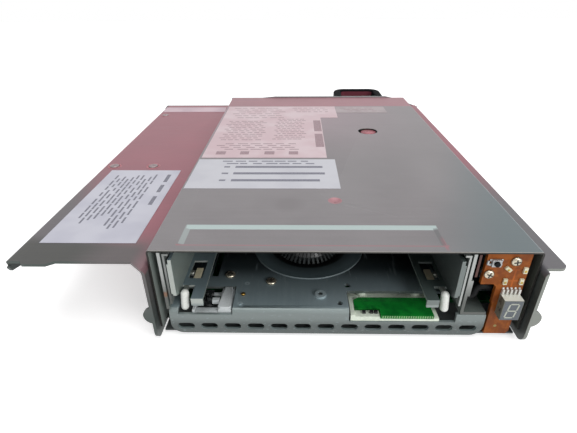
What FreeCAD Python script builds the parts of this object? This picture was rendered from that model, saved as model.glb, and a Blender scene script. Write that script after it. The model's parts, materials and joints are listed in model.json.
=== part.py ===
"""Half-height data tape drive in its library sled.

The frame is millimetres, +X to the drive's right seen from the cartridge mouth, +Y to the back
and +Z up. The origin is the middle of the drive's footprint on the plane that the sled rests on.
"""
import FreeCAD
import Part
import math
import os

V = FreeCAD.Vector

# ---------------------------------------------------------------- driving dimensions
# Cartridge, and the drive envelope that is built round it
cartridge_width = 105.4
cartridge_length = 102.0
cartridge_side_play = 1.5
cartridge_stand_out = 2.0
bay_side_room = 37.6
motor_bay_length = 104.0
drive_height = 41.3
cover_sheet = 0.8
chassis_sheet = 1.2
running_gap = 0.3

# Sled, folded from one sheet
sled_sheet = 1.2
sled_bend = 1.0
sled_side_gap = 0.5
wing_drop = 6.5
left_wing_width = 55.0
right_wing_width = 8.2
wing_lip_depth = 7.0
left_wing_setback = 2.0
right_wing_lead = 1.0
right_wing_corner = 3.0
leg_lead = 3.6
leg_corner = 5.0
sled_floor_setback = 10.0
ear_radius = 4.0
ear_height = 13.7
ear_reach = 3.0
rivet_radius = 1.6
rivet_head = 0.6
side_screw_radius = 1.5
side_screw_hole = 1.6
side_screw_head = 2.8
side_screw_rise = 21.8
side_screw_spacing = 79.2
side_screw_first = 47.4

# Rear housing of the sled
housing_depth = 28.0
panel_sheet = 1.2
panel_side_overhang = 2.0
panel_lip_rise = 1.0
panel_lip_left = -36.0
panel_lip_right = 57.0
vent_hole_radius = 1.9
vent_pitch = 5.0
fan_size = 40.0
fan_depth = 20.0
fan_x = -44.0
fan_bore_radius = 18.6
fan_hub_radius = 9.0
fan_blades = 7
fan_pin_radius = 1.5
port_width = 22.0
port_height = 10.0
port_wall = 0.8
port_depth = 18.0
port_pitch = 27.0
first_port_x = 4.0
port_z = 8.0
interposer_sheet = 1.6
interposer_offset = 6.0
connector_left = 20.0
connector_width = 38.0
connector_height = 5.5
light_pipe_radius = 1.4
light_pipe_x = 64.5
light_pipe_heights = (12.0, 20.0)
handle_span = 40.5
handle_x = 34.9
handle_reach = 27.0
handle_bar = 6.0
handle_height = 9.0
handle_top_rise = 1.4
handle_screw_radius = 1.5
handle_screw_head = 2.2
screw_thread_radius = 2.0
screw_knob_radius = 4.6
screw_knob_length = 9.0
screw_thread_length = 10.0
screw_z = 24.0

# Top cover
cover_flange_depth = 37.5
cover_bend = 0.6
emboss_left = -62.0
emboss_right = 39.4
emboss_setback = 3.6
emboss_length = 15.0
emboss_depth = 0.6
emboss_bevel = 2.0
cover_hole_radius = 6.0
cover_hole_x = 29.1
cover_hole_setback = 140.7
cover_dimple_radius = 3.0
cover_dimple_setback = 40.6

# Chassis deck and front lip
deck_drop = 28.5
deck_left = -68.6
deck_right_inset = 14.7
lip_bend = 1.6
lip_bottom_gap = 0.4
lip_corner = 5.0
slot_count = 13
slot_pitch = 9.56
slot_length = 7.0
slot_height = 3.2
slot_centre_x = -5.09
slot_centre_drop = 37.2
hub_x = -11.5
hub_setback = 46.5
hub_ring_radius = 26.5
hub_ring_rise = 0.4
sensor_cut_left = -65.0
sensor_cut_right = -43.0
sensor_cut_depth = 14.8
sensor_cut_drop = 31.0
reader_cut_left = 4.0
reader_cut_right = 46.7
reader_cut_depth = 12.4
reader_cut_drop = 34.1
shadow_slot_x = -53.6
shadow_slot_width = 3.0
shadow_slot_start = 22.0
shadow_slot_end = 62.0
boss_x = -7.1
boss_setback = 9.5
boss_radius = 2.3
boss_bore = 1.1
boss_height = 0.9
deck_screw_places = ((-46.8, 22.9), (-28.2, 18.3), (24.0, 80.0), (-44.0, 84.0))
deck_screw_head = 2.3
pan_wall_setback = 14.0

# Cartridge bay: tray, cam plates and bay walls, symmetric about bay_x
bay_x = -10.1
tray_sheet = 1.4
tray_top_drop = 4.5
ledge_top_drop = 23.0
ledge_sheet = 1.0
ledge_width = 10.1
tip_width = 4.9
tip_drop = 2.6
shoe_radius = 1.65
shoe_height = 10.0
shoe_setback = 3.4
shoe_tilt = 6.0
leader_window_width = 18.0
leader_window_inset = 6.0
tray_fall = 4.0
cam_travel = 12.0
cam_sheet = 0.8
cam_gap = 1.0
cam_flange = 1.5
cam_bottom = 16.5
wall_gap = 0.6
cam_pin_radius = 1.0
cam_slot_play = 0.1
cam_pin_setbacks = (22.0, 84.0)
cam_pin_z = 27.0

# Loader gear train, vertical axes
gear_module = 0.8
gear_teeth = 20
pinion_teeth = 10
gear_width = 3.0
gear_z = 22.0
gear_setback = 15.8
gear_play = 0.12
loader_motor_radius = 8.0
loader_motor_height = 14.0
gear_pin_radius = 1.2

# Spindle and reels
spindle_pin_radius = 2.0
pin_play = 0.05
rotor_radius = 15.3
chuck_radius = 12.4
chuck_tooth_root = 8.6
chuck_tooth_height = 3.2
chuck_teeth = 40
reel_room = 15.9
reel_shift = -8.1
reel_hub_radius = 18.0
reel_flange = 1.2
tape_width = 12.7
reel_x = -14.0
roller_radius = 5.5
roller_flange_radius = 6.8
roller_pin_radius = 1.5
tape_path_inset = 16.5
first_roller = (39.0, 10.8)
second_roller_setback = 20.8
third_roller_inset = 45.0
last_roller = (37.0, 32.0)
head_inset = 15.0
head_travel = 3.0
head_rod_radius = 1.0

# Front panel board and what it carries
board_sheet = 1.6
board_setback = 0.5
board_left_inset = 20.1
board_right_inset = 3.8
board_neck_inset = 14.0
board_neck_drop = 15.0
board_top_drop = 1.2
board_bottom_drop = 40.2
panel_screw_insets = ((9.4, 4.2), (18.1, 10.0))
panel_screw_radius = 1.9
switch_inset = 16.7
switch_drop = 4.7
switch_width = 3.5
switch_height = 2.9
switch_depth = 1.3
button_radius = 1.0
button_stand_out = 0.7
button_travel = 0.3
display_left_inset = 11.7
display_width = 7.3
display_top_drop = 19.3
display_bottom_drop = 28.9
display_depth = 4.5
display_pins = 5
lamp_insets = ((11.5, 7.6, -51.0), (5.1, 8.2, 0.0), (11.4, 13.4, 0.0), (5.3, 13.4, 0.0))
lamp_width = 1.4
lamp_height = 2.6
cable_radius = 1.6
cable_bend = 2.5

# Boards below the deck
main_board_gap = 3.0
main_board_clear = 20.0
main_board_hole_inset = 11.0
main_board_hole_front = 22.0
main_board_hole_middle = 10.0
main_board_hole_rear = 14.0
reader_board_drop = 31.0
reader_left = 6.7
reader_right = 38.0
reader_step_x = 16.8
reader_step = 4.2
reader_depth = 12.6
reader_sill_right = 40.3

# Cartridge sensor
lever_setback = 13.0
lever_drop = 3.0
lever_pin_radius = 0.9

# ---------------------------------------------------------------- planes worked out from them
tray_half_width = cartridge_width / 2 + cartridge_side_play
drive_width = 2 * tray_half_width + bay_side_room
half_width = drive_width / 2
tray_length = cartridge_length - cartridge_stand_out
drive_length = tray_length + motor_bay_length
front = -drive_length / 2
back = drive_length / 2
drive_base = sled_sheet
cover_top = drive_base + drive_height
cover_under = cover_top - cover_sheet
deck_top = cover_top - deck_drop
deck_under = deck_top - chassis_sheet
pan_top = drive_base + cover_sheet
wall_inner = half_width + sled_side_gap
wall_outer = wall_inner + sled_sheet
wing_top = cover_top - wing_drop
panel_front = back + housing_depth
panel_back = panel_front + panel_sheet
leg_front = front - leg_lead
ledge_top = cover_top - ledge_top_drop
ledge_under = ledge_top - ledge_sheet
tray_top = cover_top - tray_top_drop
tray_front = front + 0.2
tray_back = tray_front + tray_length
tray_outer = tray_half_width + tray_sheet
cam_inner = tray_outer + cam_gap
cam_outer = cam_inner + cam_sheet
bay_wall_inner = cam_outer + wall_gap
bay_wall_outer = bay_wall_inner + chassis_sheet
side_screw_z = drive_base + side_screw_rise
handle_z = cover_top + handle_top_rise - handle_height / 2
fan_z = sled_sheet + running_gap + fan_size / 2
deck_right = half_width - deck_right_inset
hub_y = front + hub_setback
gear_y = tray_back + gear_setback
reel_radius = (back - tray_back) / 2 - reel_room
reel_y = (back + tray_back) / 2 + reel_shift
tape_path_x = half_width - tape_path_inset
roller_places = ((first_roller[0], tray_back + first_roller[1]),
                 (tape_path_x, tray_back + second_roller_setback),
                 (tape_path_x, back - third_roller_inset),
                 (last_roller[0], back - last_roller[1]))
head_x = half_width - head_inset
head_y = (roller_places[1][1] + roller_places[2][1]) / 2
board_front = front + board_setback
board_back = board_front + board_sheet
board_left = half_width - board_left_inset
board_right = half_width - board_right_inset
board_neck_left = half_width - board_neck_inset
panel_screws = [(half_width - inset, drop) for inset, drop in panel_screw_insets]
switch_x = half_width - switch_inset
display_left = half_width - display_left_inset
display_right = display_left + display_width
lever_y = front + lever_setback
lever_z = deck_top - lever_drop


# ---------------------------------------------------------------- shape helpers
def block(x0, x1, y0, y1, z0, z1):
    return Part.makeBox(x1 - x0, y1 - y0, z1 - z0, V(x0, y0, z0))


def rod_x(radius, x0, x1, y, z):
    return Part.makeCylinder(radius, x1 - x0, V(x0, y, z), V(1, 0, 0))


def rod_y(radius, y0, y1, x, z):
    return Part.makeCylinder(radius, y1 - y0, V(x, y0, z), V(0, 1, 0))


def rod_z(radius, z0, z1, x, y):
    return Part.makeCylinder(radius, z1 - z0, V(x, y, z0), V(0, 0, 1))


def tube_z(outer, inner, z0, z1, x, y):
    return rod_z(outer, z0, z1, x, y).cut(rod_z(inner, z0 - 1, z1 + 1, x, y))


def joined(shapes):
    shapes = list(shapes)
    if len(shapes) == 1:
        return shapes[0]
    return shapes[0].fuse(shapes[1:]).removeSplitter()


def plate(points, direction):
    """Flat polygon pushed along a direction."""
    outline = Part.makePolygon(points + [points[0]])
    return Part.Face(outline).extrude(direction)


def sheet_strip(path, thickness, inner_radius, to_space, direction):
    """Sheet metal folded along path, a list of mid-thickness corners, pushed along direction."""
    half = thickness / 2
    bend = inner_radius + half
    headings = []
    for (u0, v0), (u1, v1) in zip(path, path[1:]):
        length = math.hypot(u1 - u0, v1 - v0)
        headings.append(((u1 - u0) / length, (v1 - v0) / length))
    borders = []
    for side in (half, -half):
        (du, dv) = headings[0]
        last = (path[0][0] - side * dv, path[0][1] + side * du)
        edges = []
        for corner, (au, av), (bu, bv) in zip(path[1:], headings, headings[1:]):
            turn = math.atan2(au * bv - av * bu, au * bu + av * bv)
            sign = math.copysign(1, turn)
            reach = bend * math.tan(abs(turn) / 2)
            centre = (corner[0] - au * reach - sign * av * bend,
                      corner[1] - av * reach + sign * au * bend)
            radius = bend - sign * side
            start = (corner[0] - au * reach - side * av, corner[1] - av * reach + side * au)
            end = (corner[0] + bu * reach - side * bv, corner[1] + bv * reach + side * bu)
            gap = math.hypot(corner[0] - centre[0], corner[1] - centre[1])
            middle = (centre[0] + (corner[0] - centre[0]) * radius / gap,
                      centre[1] + (corner[1] - centre[1]) * radius / gap)
            edges.append(Part.makeLine(to_space(*last), to_space(*start)))
            edges.append(Part.Arc(to_space(*start), to_space(*middle), to_space(*end)).toShape())
            last = end
        (du, dv) = headings[-1]
        tail = (path[-1][0] - side * dv, path[-1][1] + side * du)
        edges.append(Part.makeLine(to_space(*last), to_space(*tail)))
        borders.append(edges)
    ends = [Part.makeLine(borders[0][0].Vertexes[0].Point, borders[1][0].Vertexes[0].Point),
            Part.makeLine(borders[0][-1].Vertexes[-1].Point, borders[1][-1].Vertexes[-1].Point)]
    outline = Part.Wire(Part.__sortEdges__(borders[0] + borders[1] + ends))
    return Part.Face(outline).extrude(direction)


def slot_y(length, height, y0, y1, x, z):
    """Long hole through a sheet that faces the front, rounded at both ends."""
    reach = (length - height) / 2
    middle = block(x - reach, x + reach, y0, y1, z - height / 2, z + height / 2)
    return joined([middle] + [rod_y(height / 2, y0, y1, x + side * reach, z) for side in (-1, 1)])


def pan_head(radius, height, x, y, z):
    """Cross-recessed pan head screw standing on z."""
    head = rod_z(radius, z, z + height, x, y)
    arm = radius * 0.62
    slit = radius * 0.13
    deep = height * 0.5
    cross = [block(x - arm, x + arm, y - slit, y + slit, z + height - deep, z + height + 1),
             block(x - slit, x + slit, y - arm, y + arm, z + height - deep, z + height + 1)]
    return head.cut(joined(cross))


def turned(shape, centre, axis, degrees):
    copy = shape.copy()
    copy.rotate(centre, axis, degrees)
    return copy


def mirrored(x):
    """Place on the other side of the cartridge bay's middle plane."""
    return 2 * bay_x - x


def mirror_solid(shape):
    return shape.mirror(V(bay_x, 0, 0), V(1, 0, 0))


def honeycomb(x, z, width, height, y0, y1):
    """Hexagonal vent holes that fill a rectangle centred on x, z."""
    row_pitch = vent_pitch * math.sqrt(3) / 2
    rows = int(height / row_pitch)
    holes = []
    for row in range(rows):
        across = int(width / vent_pitch) - row % 2
        for column in range(across):
            hole_x = x + (column - (across - 1) / 2) * vent_pitch
            hole_z = z + (row - (rows - 1) / 2) * row_pitch
            corners = [V(hole_x + vent_hole_radius * math.sin(math.radians(60 * k)), y0,
                         hole_z + vent_hole_radius * math.cos(math.radians(60 * k)))
                       for k in range(6)]
            holes.append(plate(corners, V(0, y1 - y0, 0)))
    return Part.makeCompound(holes)


def involute_outline(teeth, module, play):
    """Corner points of a spur gear with straight chords along each involute flank."""
    pitch_radius = module * teeth / 2
    base_radius = pitch_radius * math.cos(math.radians(20))
    tip_radius = pitch_radius + module * 0.9
    root_radius = pitch_radius - module * 1.2
    pressure = math.radians(20)
    half_tooth = math.pi / (2 * teeth) - play / (2 * pitch_radius) + math.tan(pressure) - pressure
    flank = []
    for step in range(4):
        radius = base_radius + (tip_radius - base_radius) * step / 3
        angle = math.acos(base_radius / radius)
        flank.append((radius, half_tooth - (math.tan(angle) - angle)))
    flank.insert(0, (min(root_radius, base_radius - 0.01), half_tooth))
    points = []
    for tooth in range(teeth):
        middle = 2 * math.pi * tooth / teeth
        points += [(radius, middle - angle) for radius, angle in flank]
        points += [(radius, middle + angle) for radius, angle in reversed(flank)]
    return points


def spur_gear(teeth, width, x, y, z, bore, first_tooth_degrees):
    points = [V(x + radius * math.cos(angle), y + radius * math.sin(angle), z)
              for radius, angle in involute_outline(teeth, gear_module, gear_play)]
    wheel = plate(points, V(0, 0, width))
    wheel = turned(wheel, V(x, y, 0), V(0, 0, 1), first_tooth_degrees)
    return wheel.cut(rod_z(bore, z - 1, z + width + 1, x, y))


def save(node, *solids):
    shape = solids[0] if len(solids) == 1 else Part.makeCompound(list(solids))
    shape.exportStep("parts/" + node + ".step")


os.makedirs("parts", exist_ok=True)


# ---------------------------------------------------------------- sled
def sled_tray():
    """Hat-section tray: floor, two walls and two wings folded from one sheet."""
    mid = sled_sheet / 2
    wing_mid = wing_top - mid
    left_edge = -wall_outer - left_wing_width
    path = [(left_edge + mid, wing_top - wing_lip_depth), (left_edge + mid, wing_mid),
            (-wall_inner - mid, wing_mid), (-wall_inner - mid, mid), (wall_inner + mid, mid),
            (wall_inner + mid, wing_mid), (wall_outer + right_wing_width, wing_mid)]
    tray = sheet_strip(path, sled_sheet, sled_bend, lambda x, z: V(x, leg_front, z),
                       V(0, panel_front - leg_front, 0))
    floor_front = block(-wall_inner, wall_inner, leg_front - 1, front + sled_floor_setback,
                        -1, sled_sheet + sled_bend)
    foot = block(-wall_outer - 1, wall_outer + 1, leg_front - 1, leg_front + leg_corner, -1, leg_corner)
    foot = foot.cut(rod_x(leg_corner, -wall_outer - 2, wall_outer + 2, leg_front + leg_corner, leg_corner))
    tray = tray.cut([floor_front, foot, left_wing_trim(left_edge), left_lip_trim(left_edge),
                     right_wing_trim()])
    for side in (-1, 1):
        for y in side_screw_places():
            tray = tray.cut(rod_x(side_screw_hole, side * half_width - 3, side * half_width + 3,
                                  y, side_screw_z))
        centre = side * (wall_outer + ear_reach - ear_radius)
        ear = rod_y(ear_radius, leg_front, leg_front + sled_sheet, centre, ear_height)
        ear = ear.cut(block(-wall_outer, wall_outer, leg_front - 1, front, 0, wing_top))
        tray = joined([tray, ear])
    for x, y in wing_rivet_places():
        tray = tray.cut(rod_z(rivet_radius, wing_top - 2 * sled_sheet, wing_top + 1, x, y))
    return tray


def left_wing_trim(left_edge):
    """What is cut from the left wing's front: a long setback, a tab and the corner into the leg."""
    edge = front + left_wing_setback
    below = wing_top - wing_lip_depth - 1
    tab_left = left_edge + 8.0
    tab_right = left_edge + 17.0
    points = [(left_edge - 1, leg_front - 1), (-wall_outer, leg_front - 1), (-wall_outer, leg_front),
              (-wall_outer - 6.0, edge), (tab_right + 3.0, edge), (tab_right, front),
              (tab_left, front), (tab_left - 1.5, edge), (left_edge - 1, edge)]
    return plate([V(x, y, below) for x, y in points], V(0, 0, wing_lip_depth + 2))


def left_lip_trim(left_edge):
    """What is cut from the front end of the left wing's lip: a notch and a stepped lower corner."""
    low = wing_top - wing_lip_depth
    points = [(leg_front - 1, wing_top + 1), (front + 2.3, wing_top + 1), (front + 2.3, wing_top),
              (front + 3.5, low + 4.0), (front + 2.3, low + 3.5), (front + 3.3, low + 1.5),
              (front + 6.5, low + 0.8), (front + 9.8, low), (front + 9.8, low - 1), (leg_front - 1, low - 1)]
    return plate([V(left_edge - 1, y, z) for y, z in points], V(sled_sheet + 1, 0, 0))


def right_wing_trim():
    edge = front - right_wing_lead
    outer = wall_outer + right_wing_width
    low = wing_top - 2 * sled_sheet - sled_bend
    ahead = block(wall_outer, outer + 1, leg_front - 1, edge, low, wing_top + 1)
    corner = block(outer - right_wing_corner, outer + 1, edge - 1, edge + right_wing_corner,
                   low, wing_top + 1)
    round_end = rod_z(right_wing_corner, low - 1, wing_top + 2, outer - right_wing_corner,
                      edge + right_wing_corner)
    return joined([ahead, corner.cut(round_end)])


def side_screw_places():
    return [front + side_screw_first, front + side_screw_first + side_screw_spacing]


def wing_rivet_places():
    left_edge = -wall_outer - left_wing_width
    return [(left_edge + 6.7, front + 96.5), (left_edge + 29.2, front + 96.5),
            (left_edge + 6.8, front + 202.5)]


def sled_side_screws():
    screws = []
    for side in (-1, 1):
        for y in side_screw_places():
            ends = sorted((side * (half_width - 2.5), side * wall_outer))
            head = sorted((side * wall_outer, side * (wall_outer + 1.2)))
            screws.append(joined([rod_x(side_screw_radius, *ends, y, side_screw_z),
                                  rod_x(side_screw_head, *head, y, side_screw_z)]))
    return screws


def wing_rivets():
    under = wing_top - sled_sheet
    return [joined([rod_z(rivet_radius - 0.02, under - rivet_head, wing_top + rivet_head, x, y),
                    rod_z(1.7 * rivet_radius, wing_top, wing_top + rivet_head, x, y),
                    rod_z(1.7 * rivet_radius, under - rivet_head, under, x, y)])
            for x, y in wing_rivet_places()]


# ---------------------------------------------------------------- rear housing
def rear_housing_cover():
    mid = cover_sheet / 2
    x = half_width - mid
    path = [(-x, drive_base + 2.0), (-x, cover_top - mid), (x, cover_top - mid), (x, drive_base + 2.0)]
    return sheet_strip(path, cover_sheet, cover_bend, lambda u, z: V(u, back, z),
                       V(0, housing_depth, 0))


def thumbscrew_places():
    left = -wall_outer - left_wing_width + 5.0
    right = wall_outer + 5.6
    return {"left": left, "right": right}


def port_places():
    return [first_port_x + port_width / 2, first_port_x + port_width / 2 + port_pitch]


def rear_panel():
    left = -wall_outer - left_wing_width - panel_side_overhang
    right = wall_outer + right_wing_width + panel_side_overhang
    wing_under = wing_top - sled_sheet
    crest = cover_top + panel_lip_rise
    points = [(left, 0), (right, 0), (right, wing_under), (wall_outer, cover_top - 4.0),
              (panel_lip_right + 9.0, crest - 2.0), (panel_lip_right, crest), (panel_lip_left, crest),
              (panel_lip_left - 11.0, cover_top), (-half_width, cover_top), (-wall_outer, wing_top),
              (left + 2.0, wing_top), (left, wing_top - 2.0)]
    sheet = plate([V(x, panel_front, z) for x, z in points], V(0, panel_sheet, 0))
    far = panel_back + 1
    near = panel_front - 1
    cuts = [honeycomb(fan_x, fan_z, 1.7 * fan_bore_radius, 1.7 * fan_bore_radius, near, far),
            honeycomb((left - half_width) / 2, 16.0, 32.0, 20.0, near, far)]
    for x in port_places():
        cuts.append(block(x - port_width / 2, x + port_width / 2, near, far,
                          port_z, port_z + port_height))
    cuts += [rod_y(screw_thread_radius + pin_play, near, far, x, screw_z)
             for x in thumbscrew_places().values()]
    cuts += [rod_y(light_pipe_radius, near, far, light_pipe_x, z) for z in light_pipe_heights]
    cuts += [rod_y(handle_screw_radius, near, far, x, handle_z) for x in handle_feet()]
    return sheet.cut(cuts)


def handle_feet():
    reach = (handle_span - handle_bar) / 2
    return [handle_x - reach, handle_x + reach]


def pull_handle():
    """Stirrup-shaped pull: two arms and a cross bar with round corners."""
    x0 = handle_x - handle_span / 2
    x1 = handle_x + handle_span / 2
    y1 = panel_back + handle_reach
    z0 = handle_z - handle_height / 2
    z1 = handle_z + handle_height / 2
    outer = block(x0, x1, panel_back, y1, z0, z1)
    outer = outer.makeFillet(10.0, [edge for edge in outer.Edges if on_corner(edge, y1)])
    inner = block(x0 + handle_bar, x1 - handle_bar, panel_back - 1, y1 - handle_bar, z0, z1)
    inner = inner.makeFillet(5.0, [edge for edge in inner.Edges if on_corner(edge, y1 - handle_bar)])
    bow = outer.cut(inner)
    rims = [edge for edge in bow.Edges if edge.BoundBox.ZLength < 0.01
            and edge.BoundBox.YMin > panel_back - 0.01 and edge.BoundBox.YMax > panel_back + 0.01]
    bow = bow.makeFillet(1.4, rims)
    return bow.cut([rod_y(handle_screw_radius - 0.1, panel_back - 1, panel_back + 8.0, x, handle_z)
                    for x in handle_feet()])


def on_corner(edge, y):
    """True for an upright edge at depth y."""
    return edge.BoundBox.ZLength > 1 and abs(edge.BoundBox.YMin - y) < 0.01 and len(edge.Vertexes) == 2 \
        and edge.BoundBox.YLength < 0.01


def handle_screws():
    head = 1.6
    return [joined([rod_y(handle_screw_head, panel_front - head, panel_front, x, handle_z),
                    rod_y(handle_screw_radius - 0.1, panel_front - head, panel_back + 8.0, x, handle_z)])
            for x in handle_feet()]


def fan_frame():
    y0 = panel_front - fan_depth
    half = fan_size / 2
    body = block(fan_x - half, fan_x + half, y0, panel_front, fan_z - half, fan_z + half)
    body = body.makeFillet(3.0, [edge for edge in body.Edges if edge.BoundBox.YLength > fan_depth - 1])
    body = body.cut(rod_y(fan_bore_radius, y0 - 1, panel_front + 1, fan_x, fan_z))
    for dx in (-1, 1):
        for dz in (-1, 1):
            hole = 0.8 * half
            body = body.cut(rod_y(1.7, y0 - 1, panel_front + 1, fan_x + dx * hole, fan_z + dz * hole))
    strut = block(fan_x - 1, fan_x + 1, panel_front - 2.5, panel_front - 0.5, fan_z, fan_z + half - 1)
    struts = [turned(strut, V(fan_x, 0, fan_z), V(0, 1, 0), angle) for angle in (60, 180, 300)]
    motor = rod_y(fan_hub_radius, panel_front - 3.0, panel_front - 0.5, fan_x, fan_z)
    pin = rod_y(fan_pin_radius, y0 + 2.0, panel_front - 1.0, fan_x, fan_z)
    return joined([body, motor, pin] + struts)


def fan_rotor():
    y0 = panel_front - fan_depth + 1.0
    y1 = panel_front - 3.5
    tip = fan_bore_radius - 0.6
    hub = rod_y(fan_hub_radius, y0, y1, fan_x, fan_z)
    root_radius = fan_hub_radius - 1.0
    sections = []
    for radius, pitch, chord in ((root_radius, 52, 11.0), (tip, 34, 13.0)):
        along = V(math.cos(math.radians(pitch)), math.sin(math.radians(pitch)), 0) * (chord / 2)
        across = V(-math.sin(math.radians(pitch)), math.cos(math.radians(pitch)), 0) * 0.45
        middle = V(fan_x, (y0 + y1) / 2, fan_z + radius)
        corners = [middle + along + across, middle - along + across,
                   middle - along - across, middle + along - across]
        sections.append(Part.makePolygon(corners + [corners[0]]))
    blade = Part.makeLoft(sections, True)
    inside = rod_y(tip, y0, y1, fan_x, fan_z)
    blades = [turned(blade, V(fan_x, 0, fan_z), V(0, 1, 0), 360 * k / fan_blades).common(inside)
              for k in range(fan_blades)]
    rotor = joined([hub] + blades)
    return rotor.cut(rod_y(fan_pin_radius + pin_play, y0 + 0.8, y1 + 1, fan_x, fan_z))


def interposer_planes():
    return back + interposer_offset, back + interposer_offset + interposer_sheet


def interposer_board():
    y0, y1 = interposer_planes()
    return block(fan_x + fan_size / 2 + 3.0, half_width - 4.0, y0, y1, 4.0, 34.0)


def data_ports():
    """Open metal cages with a contact tongue inside, seated on the interposer board."""
    cages = []
    y0 = interposer_planes()[1]
    y1 = panel_back + 0.6
    play = 0.1
    for x in port_places():
        x0 = x - port_width / 2 + play
        x1 = x + port_width / 2 - play
        z0 = port_z + play
        z1 = port_z + port_height - play
        cage = block(x0, x1, y0, y1, z0, z1)
        cage = cage.cut(block(x0 + port_wall, x1 - port_wall, y1 - port_depth, y1 + 1,
                              z0 + port_wall, z1 - port_wall))
        tongue = block(x - 7.0, x + 7.0, y1 - port_depth - 0.5, y1 - port_depth + 6.0,
                       z0 + 1.4, z0 + 2.4)
        cages.append(joined([cage, tongue]))
    return cages


def light_pipes():
    y0 = interposer_planes()[1]
    return [rod_y(light_pipe_radius - 0.05, y0, panel_back + 0.5, light_pipe_x, z)
            for z in light_pipe_heights]


def drive_connector():
    """Plug between the drive's main board and the interposer board."""
    return block(connector_left, connector_left + connector_width, back - 6.0, interposer_planes()[0],
                 main_board_top(), main_board_top() + connector_height)


def thumbscrew(side):
    """Captive screw: grooved knob, threaded shank and a clip that keeps it in the panel."""
    x = thumbscrew_places()[side]
    start = panel_back + running_gap
    knob = rod_y(screw_knob_radius, start, start + screw_knob_length, x, screw_z)
    for k in range(10):
        angle = math.radians(36 * k)
        knob = knob.cut(rod_y(0.8, start + 1.5, start + screw_knob_length + 1,
                              x + (screw_knob_radius + 0.3) * math.cos(angle),
                              screw_z + (screw_knob_radius + 0.3) * math.sin(angle)))
    slit = block(x - screw_knob_radius, x + screw_knob_radius, start + screw_knob_length - 1.5,
                 start + screw_knob_length + 1, screw_z - 0.6, screw_z + 0.6)
    clip = rod_y(screw_thread_radius + 1.2, panel_front - running_gap - 0.8,
                 panel_front - running_gap, x, screw_z)
    shank = rod_y(screw_thread_radius, panel_front - running_gap - 0.8 - screw_thread_length,
                  start + 1.0, x, screw_z)
    return joined([knob.cut(slit), shank, clip])


# ---------------------------------------------------------------- drive covers
def emboss_loft(shrink, top, depth):
    """Tapered block of the pressed strip, its top at height top."""
    y0 = front + emboss_setback
    y1 = y0 + emboss_length
    rings = []
    for inset, z in ((shrink, top), (shrink + emboss_bevel, top - depth)):
        x0, x1 = emboss_left + inset, emboss_right - inset
        corners = [V(x0, y0 + inset, z), V(x1, y0 + inset, z), V(x1, y1 - inset, z), V(x0, y1 - inset, z)]
        rings.append(Part.makePolygon(corners + [corners[0]]))
    return Part.makeLoft(rings, True)


def top_cover():
    mid = cover_sheet / 2
    x = half_width - mid
    low = cover_top - cover_flange_depth
    path = [(-x, low), (-x, cover_top - mid), (x, cover_top - mid), (x, low)]
    shell = sheet_strip(path, cover_sheet, cover_bend, lambda u, z: V(u, front, z),
                        V(0, drive_length, 0))
    shell = joined([shell, emboss_loft(0, cover_under, emboss_depth)])
    shell = shell.cut(emboss_loft(0, cover_top, emboss_depth))
    hole_y = front + cover_hole_setback
    collar = tube_z(cover_hole_radius + cover_sheet, cover_hole_radius, cover_under - 1.2, cover_under,
                    cover_hole_x, hole_y)
    shell = joined([shell, collar]).cut(rod_z(cover_hole_radius, cover_under - 2, cover_top + 1,
                                              cover_hole_x, hole_y))
    dimple = Part.makeSphere(2 * cover_dimple_radius,
                             V(0, front + cover_dimple_setback,
                               cover_top + math.sqrt(3) * cover_dimple_radius))
    shell = shell.cut(dimple)
    for side in (-1, 1):
        for y in side_screw_places():
            shell = shell.cut(rod_x(side_screw_hole, side * half_width - 2, side * half_width + 2,
                                    y, side_screw_z))
    return shell


def bottom_pan():
    """Shallow pan under the drive, with low side walls and a full rear wall."""
    x = half_width - cover_sheet - 0.1
    y0 = front + 1.5
    y1 = back - 1.0
    floor = block(-x, x, y0, y1, drive_base, pan_top)
    sides = [block(side * x - (cover_sheet if side > 0 else 0), side * x + (0 if side > 0 else cover_sheet),
                   front + pan_wall_setback, y1, drive_base, deck_under) for side in (-1, 1)]
    rear = block(-x, x, y1 - cover_sheet, y1, drive_base, cover_under - cover_bend - 0.2)
    rear = rear.cut(block(connector_left - 0.5, connector_left + connector_width + 0.5, y1 - 2, y1 + 1,
                          main_board_top() - 0.3, main_board_top() + connector_height + 0.5))
    vents = honeycomb(-30.0, 27.0, 50.0, 10.0, y1 - 2, y1 + 1)
    return joined([floor, rear] + sides).cut(vents)


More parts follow.
